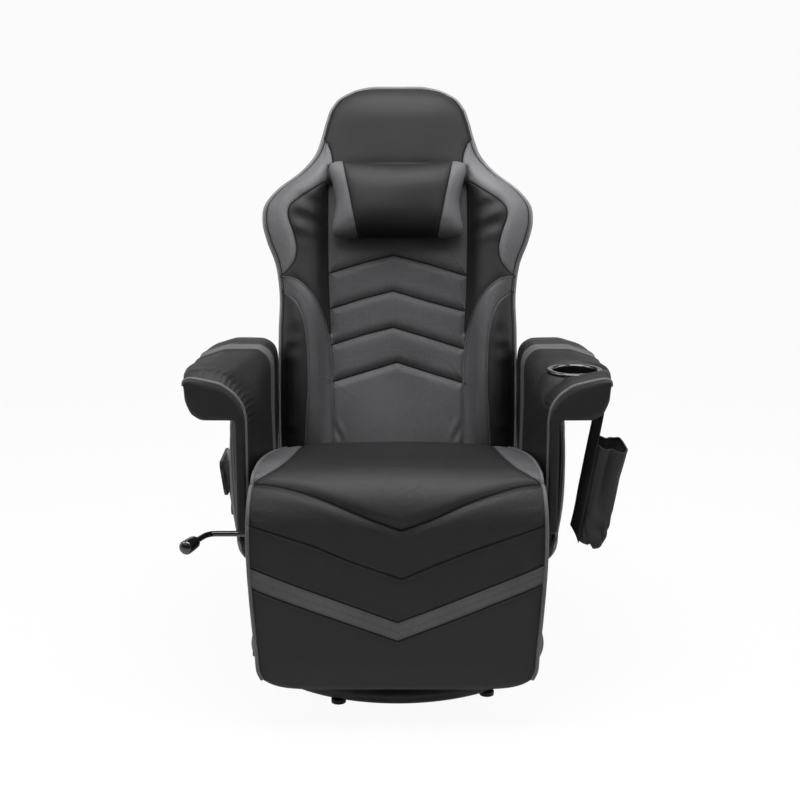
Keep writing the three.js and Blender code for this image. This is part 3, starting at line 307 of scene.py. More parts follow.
# %% Grid helpers
def ring_faces(rings, points):
    """Quads between each ring and the next, closed round the ring, and a many-sided face on both ends."""
    row = np.arange(rings - 1)[:, None] * points
    column = np.arange(points)[None, :]
    after = (column + 1) % points
    sides = np.stack([row + column, row + after, row + points + after, row + points + column], -1)
    ends = [list(range(points))[::-1], list(range((rings - 1) * points, rings * points))]
    return sides.reshape(-1, 4).tolist() + ends


def enclosed(points, faces):
    """Six times the volume inside, from the cross products of each face's corners; negative if inside out."""
    total = 0.0
    for count in {len(face) for face in faces}:
        corners = points[np.array([face for face in faces if len(face) == count])]
        for k in range(1, count - 1):
            total += (corners[:, 0] * np.cross(corners[:, k], corners[:, k + 1])).sum()
    return total


far_away = {"second": -50.0, "third": -50.0, "dots": -50.0, "seam": 50.0, "along": 0.0}


def filled(values, rings, rest):
    """The numbers of each ring's first points, and one number on its other points."""
    grid = np.asarray(values, float).reshape(len(rings), -1)
    return np.concatenate([grid, np.full((len(rings), rings.shape[1] - grid.shape[1]), rest)], 1)


def piece(name, rings, finish, body=None, nodes=(), fields=None, skin=None, faces=None, closed=True):
    """Makes one mesh piece from rings in millimetres, gives it its finish and says what it rides on."""
    rings = np.asarray(rings, float)
    points = rings.reshape(-1, 3)
    faces = faces or ring_faces(*rings.shape[:2])
    if closed and enclosed(points, faces) < 0:
        faces = [face[::-1] for face in faces]
    mesh = bpy.data.meshes.new(name)
    mesh.from_pydata(place(points).tolist(), [], faces)
    mesh.polygons.foreach_set("use_smooth", np.ones(len(faces), bool))
    for field, values in (fields or {}).items():
        carried = filled(values, rings, far_away[field]).ravel().astype(np.float32)
        mesh.attributes.new(field, "FLOAT", "POINT").data.foreach_set("value", carried)
    if skin is not None:
        flat = np.zeros((len(points), 3), np.float32)
        flat[:, :2] = np.stack([filled(part, rings, 0.0).ravel() for part in skin], -1) / 1000
        mesh.attributes.new("skin", "FLOAT_VECTOR", "POINT").data.foreach_set("vector", flat.ravel())
    mesh.materials.append(finish.material)
    made = bpy.data.objects.new(name, mesh)
    bpy.context.scene.collection.objects.link(made)
    if nodes:
        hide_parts(*nodes)
    if body:
        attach(made, body)
    print(f"{name}: {len(points)} points, {len(faces)} faces")
    return made


# %% [markdown]
# ## Curves and distances
#
# Leather panels meet along curved seams. A seam is a smooth line through a few measured places,
# and everything about it, such as its groove, the swell of the padding beside it and the edge of
# a colour, is a function of the distance to that line.


# %% Curve helpers
def flowing(places, spacing=4.0):
    """A curve through the places: each stretch is the cubic whose end slopes follow its neighbours."""
    p = np.asarray(places, float)
    p = np.concatenate([2 * p[:1] - p[1:2], p, 2 * p[-1:] - p[-2:-1]])
    made = []
    for a, b, c, d in zip(p[:-3], p[1:-2], p[2:-1], p[3:]):
        t = np.linspace(0, 1, max(int(np.linalg.norm(c - b) / spacing), 1) + 1)[:-1, None]
        bend, twist = 2 * a - 5 * b + 4 * c - d, 3 * b - a - 3 * c + d
        made.append(0.5 * (2 * b + (c - a) * t + bend * t**2 + twist * t**3))
    return np.concatenate(made + [p[-2:-1]])


def evenly(line, count):
    """The same line with its points at equal steps of length."""
    length = np.concatenate([[0], np.cumsum(np.linalg.norm(np.diff(line, axis=0), axis=1))])
    spots = np.linspace(0, length[-1], count)
    return np.stack([np.interp(spots, length, line[:, k]) for k in range(line.shape[1])], 1)


def beside(points, line):
    """Distance to a line: the least distance to any of its straight steps."""
    nearest = np.full(len(points), 1e9)
    for start, end in zip(line[:-1], line[1:]):
        way = end - start
        share = np.clip((points - start) @ way / (way @ way), 0, 1)
        nearest = np.minimum(nearest, np.linalg.norm(points - start - share[:, None] * way, axis=1))
    return nearest


def within(points, outline):
    """Distance to a closed outline, positive inside: there a level line from the point crosses it an odd
    number of times."""
    closed_line = np.concatenate([outline, outline[:1]])
    odd = np.zeros(len(points), bool)
    for (x0, y0), (x1, y1) in zip(closed_line[:-1], closed_line[1:]):
        if y0 != y1:
            spans = (y0 > points[:, 1]) != (y1 > points[:, 1])
            odd ^= spans & (points[:, 0] < x0 + (points[:, 1] - y0) * (x1 - x0) / (y1 - y0))
    distance = beside(points, closed_line)
    return np.where(odd, distance, -distance)


def through(table, where):
    """A smooth curve through pairs of place and value, level beyond its ends."""
    place_at, value = np.array(table, float).T
    slope = np.gradient(value, place_at)
    k = np.clip(np.searchsorted(place_at, where) - 1, 0, len(value) - 2)
    span = place_at[k + 1] - place_at[k]
    t = np.clip((where - place_at[k]) / span, 0, 1)
    return ((2 * t**3 - 3 * t**2 + 1) * value[k] + (t**3 - 2 * t**2 + t) * slope[k] * span
            + (3 * t**2 - 2 * t**3) * value[k + 1] + (t**3 - t**2) * slope[k + 1] * span)


def step(low, high, value):
    """0 below low, 1 above high, smooth between."""
    t = np.clip((value - low) / (high - low), 0, 1)
    return t * t * (3 - 2 * t)


def bell(value, width):
    return np.exp(-((value / width) ** 2))


def quarter_round(value):
    """From 0 to 1 as the value does, along a quarter of a circle that ends level."""
    return np.sqrt(np.clip(1 - (1 - np.clip(value, 0, 1)) ** 2, 0, 1))


def slowing(count):
    """From 0 to 1 in steps that shrink towards the end."""
    return np.sin(np.linspace(0, math.pi / 2, count))


def bunched(count):
    """From -1 to 1 in steps that shrink towards both ends."""
    return np.sin(np.linspace(-math.pi / 2, math.pi / 2, count))


def circle(count):
    """The angles of equal steps round a circle."""
    return np.arange(count) / count * 2 * math.pi


def tube(name, line, radius, finish, body=None, sides=12, **more):
    """A round cord along a line: rings square to the line, turned as little as possible between steps."""
    line = np.asarray(line, float)
    along = np.gradient(line, axis=0)
    along /= np.linalg.norm(along, axis=1)[:, None]
    up = np.where(np.abs(along[:, 2:]) < 0.9, [[0.0, 0, 1]], [[0.0, 1, 0]])
    side = np.cross(along, up)
    for k in range(1, len(side)):
        side[k] = side[k - 1] - along[k] * (side[k - 1] @ along[k])
        side[k] /= np.linalg.norm(side[k])
    side[0] /= np.linalg.norm(side[0])
    rise = np.cross(side, along)
    turn = circle(sides)[None, :, None]
    rings = line[:, None] + radius * (np.cos(turn) * side[:, None] + np.sin(turn) * rise[:, None])
    return piece(name, rings, finish, body, **more)


both_sides = ((-1, "left"), (1, "right"))
print("curves are ready")

# %% [markdown]
# ## Leather
#
# The cover is artificial leather: fine pebble grain, a soft sheen, black in most panels and grey
# in the rest. Two panels of different colour meet at a seam, so one finish holds both colours and
# a number carried by the mesh says which one a point has. The same idea draws the rows of tiny
# holes, the dark line of a seam, which is painted shade of its groove, and the thread beside it:
# their distances are on the mesh, so they stay sharp at any zoom.

# %% Leather finish
hole_pitch, stitch_mm, thread_away, grain_metres = 0.0052, 5.0, 4.2, 0.00035


def holes_in(made):
    """1 in the holes of two square nets, one set in the gaps of the other, where "dots" allows them."""
    nearest = None
    for shift in (0.0, 0.5):
        across, up = [(part / hole_pitch + shift).maths("FRACT") - 0.5 for part in made.skin()]
        spot = (across * across + up * up) ** 0.5
        nearest = nearest.maths("MINIMUM", spot) if nearest else spot
    return (1 - nearest.between(0.13, 0.19)) * made.field("dots").between(1.5, 2.5)


def leather(name, shade, other=None, dark_panels_and_sash_shade=None, dots=False, seams=True, rough=0.44):
    """Mottled colours chosen by fields, over a net of grain cells pressed in as bump."""
    made = Finish(name, "black_leather", Roughness=rough, Specular_IOR_Level=0.36)
    tones = made.noise(7.0, 3) * 0.7 + made.noise(160.0) * 0.3

    def shades(colour):
        return made.blend(tones.between(0.3, 0.7), scaled(colour, 0.82), scaled(colour, 1.2))

    colour = shades(shade)
    for field, panels in (("second", other), ("third", dark_panels_and_sash_shade)):
        if panels:
            colour = made.blend(made.field(field).between(-0.3, 0.3), colour, shades(panels))
    net = made.node("ShaderNodeTexVoronoi", {"feature": "DISTANCE_TO_EDGE"},
                    {"Vector": made.where(), "Scale": 620.0}, "Distance")
    height = net.between(0.0, 0.22) * 0.7 + made.noise(900.0) * 0.3
    gloss = tones * 0.12 + net.between(0.0, 0.3) * -0.05 + (rough - 0.03)
    if dots:
        holes = holes_in(made)
        colour = made.blend(holes * 0.8, colour, (0.003, 0.003, 0.003))
        height = height - holes * 1.6
        gloss = gloss + holes * 0.3
    if seams:
        far = made.field("seam").maths("ABSOLUTE")
        # The dark line along the seam is painted shade of its groove; the groove's depth is the height below.
        line = 1 - far.between(1.1, 2.4)
        dash = ((made.field("along") / stitch_mm).maths("FRACT") - 0.5).maths("ABSOLUTE")
        rows = (far - thread_away).maths("ABSOLUTE")
        thread = (1 - rows.between(0.25, 0.55)) * (1 - dash.between(0.32, 0.4))
        colour = made.blend(line * 0.9, colour, (0.002, 0.002, 0.002))
        colour = made.blend(thread * 0.75, colour, grey(46))
        height = height - line * 3.0 + thread * 1.2
        gloss = gloss + thread * 0.15 + line * 0.5
    made.surface(Base_Color=colour, Roughness=gloss)
    made.bump(height, grain_metres, 0.8)
    return made


# The third grey is the middle panel's own; the back's sashes take it too, as painted shade from the arms.
black, soft_grey, panel_grey_and_sash_shade = grey(15, 15, 16), grey(96, 96, 98), grey(68, 68, 70)
# The seat's grey is the grey leather darkened as painted shade of the arms over its rear corner patches; the
# band shares it.
seat_grey_with_corner_shade, band_grey = grey(74, 74, 76), grey(84, 84, 86)
seat_leather = leather("seat leather", black, seat_grey_with_corner_shade, dots=True)
back_leather = leather("back leather", black, soft_grey, panel_grey_and_sash_shade, dots=True)
arm_leather = leather("arm leather", black, band_grey)
plain_leather = leather("plain leather", black, seams=False)
pillow_leather = leather("pillow leather", black, soft_grey)
piping = leather("piping", grey(118, 119, 121), seams=False, rough=0.4)
dark_piping = leather("dark piping", grey(86, 87, 89), seams=False, rough=0.4)
thin_piping = leather("thin piping", grey(72, 72, 74), seams=False, rough=0.4)
print("leather finishes:", len(bpy.data.materials))

# %% [markdown]
# ## Seams as numbers on the mesh
#
# A seam pulls the padding down. For each point we find the nearest seam, its distance with a sign
# for the side, and how far along it the point lies. The groove is a bell curve of that distance,
# and the same numbers drive the thread and the dark line painted along the seam as the groove's shade.


# %% Seam fields
def seam_fields(points, seams):
    """Signed distance to the nearest seam, whose sign is the side of the seam, and the length along it."""
    best, signed, along = np.full(len(points), 1e9), np.full(len(points), 1e3), np.zeros(len(points))
    for seam in seams:
        walked = 0.0
        for start, end in zip(seam[:-1], seam[1:]):
            way = end - start
            length = math.hypot(*way)
            if length == 0:
                continue
            out = points - start
            share = np.clip(out @ way / length**2, 0, 1)
            gap = np.linalg.norm(out - share[:, None] * way, axis=1)
            side = np.sign(way[0] * out[:, 1] - way[1] * out[:, 0])
            nearer = gap < best
            best = np.where(nearer, gap, best)
            signed = np.where(nearer, gap * np.where(side == 0, 1, side), signed)
            along = np.where(nearer, walked + share * length, along)
            walked += length
    return signed, along


def groove(distance, depth, width):
    """A wide bell curve for the padding, and a narrow peak at the seam for the crease the thread pulls in."""
    return depth * (0.55 * bell(distance, width) + 0.45 * np.exp(-np.abs(distance) / (0.3 * width)))


def folds(along, away, period, reach, seed):
    """Three slanting waves of unlike lengths that fade with the distance from the edge they start at."""
    wave = sum(np.sin(2 * math.pi * (along * f + away * g * seed) / period + seed * (3 + k))
               for k, (f, g) in enumerate([(1.0, 0.35), (0.61, -0.22), (1.37, 0.15)]))
    return wave / 3 * np.exp(-np.maximum(away, 0) / reach)


print("seam fields are ready")

# %% [markdown]
# ## The long cover of seat and leg rest
#
# On the real chair one leather cover runs from the back of the seat, over the front roll and down
# the leg rest. The leg rest turns about the middle of the roll, so the cover bends there. It is
# one closed mesh: rings across the chair, carried along the cover's path. Each ring has the
# padded face, rounded shoulders, and an underside. It is made in one pose and is attached to neither body.

# %% The cover's path from the bottom edge to the rear of the seat
hinge = np.array([-300.0, 380.0])
roll_radius, face_height, seat_rear = 90.0, 303.0, 134.0
seat_start = face_height + roll_radius * math.pi / 2
top_line = flowing([(-300, 470), (-268, 470.5), (-225, 467), (-150, 457), (-60, 441), (40, 420),
                    (seat_rear, 398)], 5)
top_walk = np.concatenate([[0], np.cumsum(np.linalg.norm(np.diff(top_line, axis=0), axis=1))])
cover_length = seat_start + top_walk[-1]


def cover_face(s):
    """Straight up the front, a quarter of the roll's circle, then the seat's top line."""
    turn = (s - face_height) / roll_radius
    front = np.stack([np.full(s.shape, hinge[0] - roll_radius), hinge[1] - face_height + s], -1)
    round_it = hinge + roll_radius * np.stack([-np.cos(turn), np.sin(turn)], -1)
    top = np.stack([np.interp(s - seat_start, top_walk, top_line[:, k]) for k in (0, 1)], -1)
    return np.where((s < face_height)[:, None], front, np.where((s < seat_start)[:, None], round_it, top))


# Place along the cover, then Y and Z of the underside
inside_line = np.array([
    (0, -315.5, 84), (240, -315.5, 317), (268, -318, 343), (292, -332, 366), (308, -347, 380),
    (326, -353, 392), (352, -346, 408), (380, -336, 421), (412, -318, 432), (444, -300, 435.5),
    (470, -277, 430), (490, -256, 416), (506, -236, 396), (520, -214, 377), (532, -204.5, 371.5),
    (560, -180, 368), (885, 133.5, 334.5),
])
ring_gap, end_ring = 2.6, 3
stations = np.concatenate([[0, end_ring], np.arange(2 * end_ring, cover_length - 5, ring_gap),
                           [cover_length - end_ring, cover_length]])
u = np.linspace(-1, 1, 225)
share = u * (1.33 - 0.33 * u**2)
s_face, x_share = np.meshgrid(stations, share, indexing="ij")
half = through([(0, 240), (30, 248), (80, 252), (155, 258), (260, 263), (340, 261.5), (420, 256.5),
                (470, 254), (540, 252), (640, 246), (760, 238), (cover_length, 232)], s_face)
x_face = x_share * half
print("cover", round(cover_length), "mm long,", s_face.shape, "face points")

# %% [markdown]
# Its seams: two chevrons on the front, a grey band between two more, and a grey patch in each
# rear corner of the seat. Leather between the upper chevron and the band has rows of holes.
# Band and patches share one grey, darker than the back's, as painted shade of the arms over the rear corners.


# %% Seams, colours and padding of the cover
def across(table):
    return flowing(np.array(table, float), 6)


def pointed(left, right):
    """Two curves that meet in a point."""
    return np.concatenate([across(left)[:-1], across(right)])


chevron_high = pointed([(-256, 401), (-207, 387), (-164, 372), (-127, 357), (-91, 341), (-43, 321), (7, 303)],
                       [(7, 303), (60, 322), (122, 350), (186, 376), (217, 388), (256, 400)])
chevron_low = pointed([(-263, 312), (-193, 290), (-145, 274), (-79, 246), (8, 215)],
                      [(8, 215), (90, 250), (173, 281), (263, 312)])
band_high = np.array([(-262, 233.0), (1, 134), (262, 239)])
band_low = np.array([(-260, 194.0), (1, 98), (260, 203)])
corner_edge = across([(-256, 401), (-222, 434), (-201, 496), (-193, 595), (-193, 740), (-196, 900)])
corner_patch = np.concatenate([corner_edge, [(-300, 900), (-300, 401)]])
flip = np.array([-1, 1])
cover_seams = [chevron_high, chevron_low, band_high, band_low, corner_edge, corner_edge * flip]
flat_x, flat_s = x_face.ravel(), s_face.ravel()
spots = np.stack([flat_x, flat_s], -1)
seam, along = seam_fields(spots, cover_seams)
below_band_top = np.interp(flat_x, *band_high.T) - flat_s
band = np.minimum(below_band_top, flat_s - np.interp(flat_x, *band_low.T))
patch = np.maximum(within(spots, corner_patch), within(spots * flip, corner_patch))
holes = np.minimum(np.interp(flat_x, *chevron_high.T) - flat_s, -below_band_top)

edge_away = (half - np.abs(x_face)).ravel()
seam_depths = (8.0, 3.0, 2.2, 2.2, 3.5, 3.5)
seam_widths = (11, 6, 4, 4, 8, 8)
sink = sum(groove(beside(spots, line), *size) for line, *size in zip(cover_seams, seam_depths, seam_widths))
crown = 5 + 5 * step(380, 560, flat_s)
swell = crown * (1 - x_share.ravel() ** 2) * step(0, 60, flat_s) * (1 - 0.6 * step(780, cover_length, flat_s))
shoulder = 6 * np.abs(x_share.ravel()) ** 9
lip = 13 * (1 - quarter_round(flat_s / 14))
gathered = step(2, 14, edge_away) * step(200, 270, flat_s) * (1 - step(500, 640, flat_s))
pucker = 1.5 * folds(flat_s, edge_away, 31, 26, 1.0) * gathered
sway = np.sin(flat_x / 61 + flat_s / 47) * np.sin(flat_s / 83 - flat_x / 140) * step(20, 90, edge_away)
depth = (sink + shoulder + lip - swell + pucker + sway).reshape(s_face.shape)
print("cover padding from", depth.min().round(1), "to", depth.max().round(1), "mm deep")

# %% The cover's rings and its mesh
face_line = cover_face(stations)
under_line = np.stack([np.interp(stations, inside_line[:, 0], inside_line[:, k]) for k in (1, 2)], -1)
inward = np.gradient(face_line, axis=0)
inward = np.stack([inward[:, 1], -inward[:, 0]], -1) / np.linalg.norm(inward, axis=1)[:, None]
face_yz = face_line[:, None] + depth[..., None] * inward[:, None]
face_yz[..., 1] += 17 * np.abs(share) ** 10 * np.clip(1 - stations[:, None] / 40, 0, 1)
side_depth_shares = np.array([0.12, 0.3, 0.5, 0.7, 0.88, 0.97])
side_width_shares = np.array([1.0, 1.0, 0.999, 0.996, 0.99, 0.98])
under_shares = np.linspace(0.965, -0.965, 30)


def cover_side(sign):
    """From the shoulder to the underside, straight in depth, a little drawn in at the bottom."""
    edge = face_yz[:, -1 if sign > 0 else 0]
    yz = edge[:, None] + side_depth_shares[:, None] * (under_line - edge)[:, None]
    x = sign * half[:, :1] * side_width_shares
    return np.concatenate([x[..., None], yz], -1)


face = np.concatenate([x_face[..., None], face_yz], -1)
under_yz = np.broadcast_to(under_line[:, None], (len(stations), len(under_shares), 2))
under = np.concatenate([(half[:, :1] * under_shares)[..., None], under_yz], -1)
cover_rings = np.concatenate([face, cover_side(1), under, cover_side(-1)[:, ::-1]], 1)
cover = piece("seat_and_legrest_cover", cover_rings, seat_leather, nodes=("seat_cushion", "legrest_pad"),
              fields={"second": np.maximum(band, patch), "dots": holes, "seam": seam, "along": along},
              skin=(flat_x, flat_s))


def follow_the_roll(made):
    """Bakes the piece's placement into its points; it rides on no body."""
    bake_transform(made)


follow_the_roll(cover)

for sign, side in both_sides:
    edge_points = face[:, 0 if sign < 0 else -1].copy()
    edge_points[:, 0] += sign * 0.5
    keep = (stations > 8) & (stations < cover_length - 2)
    cord = tube(f"cover_piping_{side}", evenly(edge_points[keep], 330), 3.6, dark_piping)
    follow_the_roll(cord)

# %% [markdown]
# ## The winged back
#
# Everything on the back is worked out flat first: X across and "up" along the leaning plane. A
# third number, "out", is how far the padding stands off that plane. The outline is a table of
# half-widths, narrow at the head, widest at the shoulders. The padding is low in the middle and
# rises in two bolsters at the sides, and the head is one low dome.

# %% The leaning plane, the outline and the padding
lean, foot_y, foot_z, tall, widest = math.radians(14), 180.0, 400.0, 750.0, 285.0
foot_up, crown_up = -39.5, 746.5


def on_back(x, up, out):
    """Up leans back by the angle and out is square to it."""
    x, up, out = np.broadcast_arrays(x, up, out)
    y = foot_y + up * math.sin(lean) - out * math.cos(lean)
    return np.stack([x, y, foot_z + up * math.cos(lean) + out * math.sin(lean)], -1)


half_shares = [
    (-0.06, 0.865), (0, 0.87), (0.12, 0.873), (0.3, 0.873), (0.42, 0.868), (0.5, 0.9), (0.565, 0.965),
    (0.615, 0.995), (0.665, 0.975), (0.705, 0.885), (0.755, 0.712), (0.8, 0.61), (0.85, 0.557), (0.9, 0.52),
    (0.94, 0.476), (0.972, 0.385), (0.992, 0.235), (1, 0.1)]
bolster_shares = [(-0.06, 0.3), (0.05, 0.72), (0.3, 1), (0.5, 0.95), (0.62, 1), (0.72, 0.85), (0.8, 0.7),
                  (0.92, 0.62), (0.97, 0.5), (1, 0.12)]
panel_shares = [(-0.06, 1), (0.6, 1), (0.75, 1.35), (0.92, 1.5), (0.975, 1.1), (1, 0.3)]
rise_shares = [(0, 0), (0.06, 0.12), (0.25, 0.75), (0.5, 1), (0.75, 0.85), (0.93, 0.35), (1, 0)]
panel_rise, bolster_rise, rim_rise, middle_width = 20, 62, 4, 140


def half_at(up):
    return widest * through(half_shares, up / tall)


def crown_steps(first, count):
    """Rows that close up towards the crown, where the outline turns level."""
    return first + (crown_up - first) * slowing(count)


def padding(x, up):
    """A shallow crown in the middle panel, the bolster's rise and fall beyond it, and a dome at the head."""
    half, panel = half_at(up), panel_rise * through(panel_shares, up / tall)
    bolster = bolster_rise * through(bolster_shares, up / tall)
    middle = np.minimum(middle_width, 0.72 * half)
    beyond = np.clip((np.abs(x) - middle) / (half - middle), 0, 1)
    edge = panel + (rim_rise - panel) * beyond
    outer = np.maximum(edge + (bolster - edge) * through(rise_shares, beyond), rim_rise)
    winged = np.where(np.abs(x) < middle, panel + 4 * (1 - (x / middle) ** 2), outer)
    sideways = np.clip(1 - np.clip(np.abs(x) / half, 0, 1) ** 3.2, 0, 1) ** 0.62
    head = 3 + 39 * quarter_round((tall - 6 - up) / 70) * sideways
    return winged + (head - winged) * step(520, 600, up)


middle_bolster_edge = padding(np.array([0, 200, 246]), np.full(3, 200.0))
print("padding at the middle, a bolster and the edge:", middle_bolster_edge.round())

# %% [markdown]
# Its panels: a black head, a grey wing on each shoulder, a black inner bolster, a grey sash that
# sweeps down beside the middle, and four arrow seams across the middle panel with rows of holes.
# The sash is given the middle panel's darker grey as painted shade from the arms.

# %% Seams of the back
wing_line = across([(60, 552), (118, 552), (146, 546), (176, 526), (212, 501), (227, 484), (228, 463),
                    (217, 430), (211, 398), (217, 370), (237, 350), (262, 338)])
head_line = across([(190, 668), (166, 650), (154, 634), (144, 616), (138, 596), (134, 570), (118, 552)])
sash_in = across([(262, 346), (236, 342), (208, 331), (181, 306), (161, 270), (148, 226), (141, 170),
                  (138, 88), (137, 0), (137, -45)])
sash_out = across([(262, 322), (232, 303), (209, 281), (195, 240), (189, 192), (187, 115), (190, 60),
                   (194, 0), (196, -45)])
panel_line = across([(146, 570), (148, 480), (148, 413), (147, 340), (144, 262), (142, 226)])
arrows = [np.array(arrow, float) for arrow in (
    [(-144, 351), (-72, 373), (-9, 389), (61, 371), (144, 346)],
    [(-144, 275), (-73, 297), (-10, 313), (61, 292), (143, 270)],
    [(-142, 198), (-73, 220), (-9, 236), (61, 215), (141, 190)],
    [(-140, 120), (-73, 140), (-1, 162), (67, 140), (140, 118)])]
wing_patch = np.concatenate([head_line[::-1][2:], [(400, 668), (400, 338)], wing_line[::-1]])
sash_patch = np.concatenate([sash_in, [(196, -60)], sash_out[::-1]])
side_seams = [wing_line, head_line, sash_in, sash_out, panel_line]
twins = [line * turn for line in side_seams for turn in (1, flip)]
back_seams = arrows + twins
panel_sides = ([-40, 142, 226, 262, 340, 413, 570], [137, 140, 142, 144, 147, 148, 146])


def crease(x, up):
    """Grooves along the seams, and a few soft folds where a bolster's leather is slack."""
    spots = np.stack([np.ravel(x), np.ravel(up)], -1)
    height, aside = spots[:, 1], np.abs(spots[:, 0])
    on_panel = step(0, 7, np.interp(height, *panel_sides) - aside)
    sink = np.zeros(len(spots))
    kinds = ((arrows, 7.0, 10, on_panel), (twins[:8], 3.4, 7, 1), (twins[8:], 6.5, 9, 1))
    for seams, deep, width, shown in kinds:
        for line in seams:
            sink = np.maximum(sink, groove(beside(spots, line), deep, width) * shown)
    away = aside - 146
    slack = step(0, 25, away) * (1 - step(60, 85, away))
    slack *= step(395, 430, height) * (1 - step(500, 530, height))
    uneven = 0.6 + 0.4 * np.sin(height / 23)
    sink += 2.6 * slack * np.sin((height - 0.35 * away) / 7.5 + np.sign(spots[:, 0])) * uneven
    low = np.exp(-np.hypot((aside - 124) / 13, (height - 14) / 26) ** 2)
    sink += 1.8 * low * np.sin((aside * 0.8 - height * 0.42) / 3.6)
    pulled = bell(aside - 228, 20) * step(-10, 20, height) * (1 - step(250, 290, height))
    sink += 1.3 * pulled * np.sin(height / 9 + np.sin(height / 31) * 2)
    broad = 0.9 * np.sin(spots[:, 0] / 37 + 1.3) * np.sin(height / 53)
    return (sink + broad).reshape(np.shape(x))


# %% The front of the back as one closed cushion
rows = np.concatenate([[foot_up], np.arange(-38, 690, 2.7), crown_steps(690, 34)])
v = np.linspace(-1, 1, 213)
up_grid, spread_grid = np.meshgrid(rows, v * (1.22 - 0.22 * v**2), indexing="ij")
x_grid = spread_grid * half_at(up_grid)
spots = np.stack([x_grid, up_grid], -1).reshape(-1, 2)
rim = np.minimum(half_at(up_grid) - np.abs(x_grid), (tall - up_grid) * 1.2 + 2)
out_grid = np.maximum(padding(x_grid, up_grid) - crease(x_grid, up_grid) * step(1, 26, rim), 1.0)
rear_shares = np.concatenate([[1], np.linspace(1, -1, 9), [-1]])
rear_out = np.array([-10.0] + [-24.4] * 9 + [-10.0])
rear_side = on_back(half_at(rows)[:, None] * rear_shares, rows[:, None], rear_out)
back_rings = np.concatenate([on_back(x_grid, up_grid, out_grid), rear_side], 1)

seam, along = seam_fields(spots, back_seams)
from_rim = rim.ravel() - 6.5
seam = np.where(np.abs(from_rim) < np.abs(seam), from_rim, seam)
mirrored_spots = np.stack([np.abs(spots[:, 0]), spots[:, 1]], -1)
panel = np.minimum(np.interp(spots[:, 1], *panel_sides) - mirrored_spots[:, 0], 560 - spots[:, 1])
under_top, under_last = (np.interp(spots[:, 0], *arrows[k].T) - spots[:, 1] for k in (0, -1))
# The sashes take the middle panel's darker grey: painted shade from the arms on the lower back.
panel_and_shaded_sash = np.maximum(panel, within(mirrored_spots, sash_patch))
front_cushion = piece(
    "back_front_cushion", back_rings, back_leather, "backrest", ("back_cushion",),
    fields={"second": within(mirrored_spots, wing_patch), "third": panel_and_shaded_sash,
            "dots": np.minimum.reduce([under_top, -under_last, panel]), "seam": seam, "along": along},
    skin=(x_grid, up_grid))


# %% Piping of the back
def over_back(line, lift):
    """A flat curve laid on the padding, lifted off it by the cord's own size."""
    x, up = line.T
    return on_back(x, up, np.maximum(padding(x, up) - crease(x, up), 1) + lift)


outline_up = np.concatenate([np.arange(foot_up, 700, 4), crown_steps(700, 26)])
outline = np.stack([half_at(outline_up), outline_up], -1)
outline = np.concatenate([outline * flip, outline[::-1]])
tube("back_outline_piping", on_back(*evenly(outline, 420).T, 1.5), 4.2, piping, "backrest")
for sign, side in both_sides:
    for label, line in (("sash_inner", sash_in), ("sash_outer", sash_out), ("head", head_line[:-12])):
        kept = line[np.abs(line[:, 0]) < half_at(line[:, 1]) - 4] * [sign, 1]
        laid = over_back(evenly(kept, 120), 0.4)
        tube(f"{label}_piping_{side}", laid, 1.7, thin_piping, "backrest", sides=8)

# %% [markdown]
# The rear of the back is a smooth upholstered shell. Its thickness is a quarter-round of the
# distance from the outline, so it meets the piping softly on every side.

# %% Rear shell
round_edge, spine_x = 20, 150
shell_rows = np.concatenate([[foot_up, -38.5, -36, -32], np.arange(-27, 690, 6), crown_steps(690, 26)])
w = np.linspace(-1, 1, 121)
shell_up, shell_share = np.meshgrid(shell_rows, w * (1.25 - 0.25 * w**2), indexing="ij")
shell_x = shell_share * (half_at(shell_up) - 0.5)
inset = within(np.stack([shell_x, shell_up], -1).reshape(-1, 2), outline).reshape(shell_x.shape)
spine = 2.0 * bell(np.abs(shell_x) - spine_x, 5) * step(30, 60, inset)
shell_back = on_back(shell_x, shell_up, -25.2 - 29.3 * quarter_round(inset / round_edge) + spine)
shell_front = on_back(np.linspace(0.98, -0.98, 9) * half_at(shell_rows)[:, None], shell_rows[:, None], -24.9)
shell_fields = {"second": [far_away["second"]] * len(shell_rows), "seam": np.abs(shell_x) - spine_x,
                "along": shell_up}
shell_rings = np.concatenate([shell_back, shell_front], 1)
piece("back_rear_shell", shell_rings, arm_leather, "backrest", ("back_shell",), shell_fields)

# %% [markdown]
# ## The head pillow
#
# A loose cushion with a black middle and two grey ends, held by an elastic band. Its front is a
# product of two flat-topped curves, one across and one up, which gives full corners and a middle
# that doesn't look like a ball. The sides draw in at the waist and the top edge sags.

# %% Pillow shape
pillow_mid, pillow_high, rest_out = 504.0, 86.0, 36.5
row_p, col_p = np.meshgrid(bunched(90), bunched(130), indexing="ij")
half_p = 130 + 19 * np.abs(row_p + 0.12) ** 1.7
dip = 4 * np.clip(-row_p, 0, 1) * (1 - np.abs(col_p) ** 3) - 13 * np.clip(row_p, 0, 1) * (1 - col_p**2) ** 1.2
pillow_x = col_p * half_p * (1 - 0.085 * np.abs(row_p) ** 7 * col_p**2)
pillow_up = pillow_mid + row_p * pillow_high * (1 - 0.13 * np.abs(col_p) ** 7) + dip
past_seam = np.abs(pillow_x) - np.interp(pillow_up, [415, 428, 513, 585, 600], [80, 83, 100, 115, 118])
dome = np.sqrt(np.clip(1 - np.abs(row_p) ** 2.6, 0, 1) * np.clip(1 - np.abs(col_p) ** 5, 0, 1))
slack = folds(pillow_up, np.abs(past_seam), 26, 14, 1.7) * step(0.3, 0.9, np.abs(row_p))
tuck = 3.0 * bell(past_seam, 4.5) + 2.0 * slack
pillow_out = rest_out + 4 + (58 - tuck + 1.5 * np.sin(pillow_x / 31) * np.sin(pillow_up / 27)) * dome
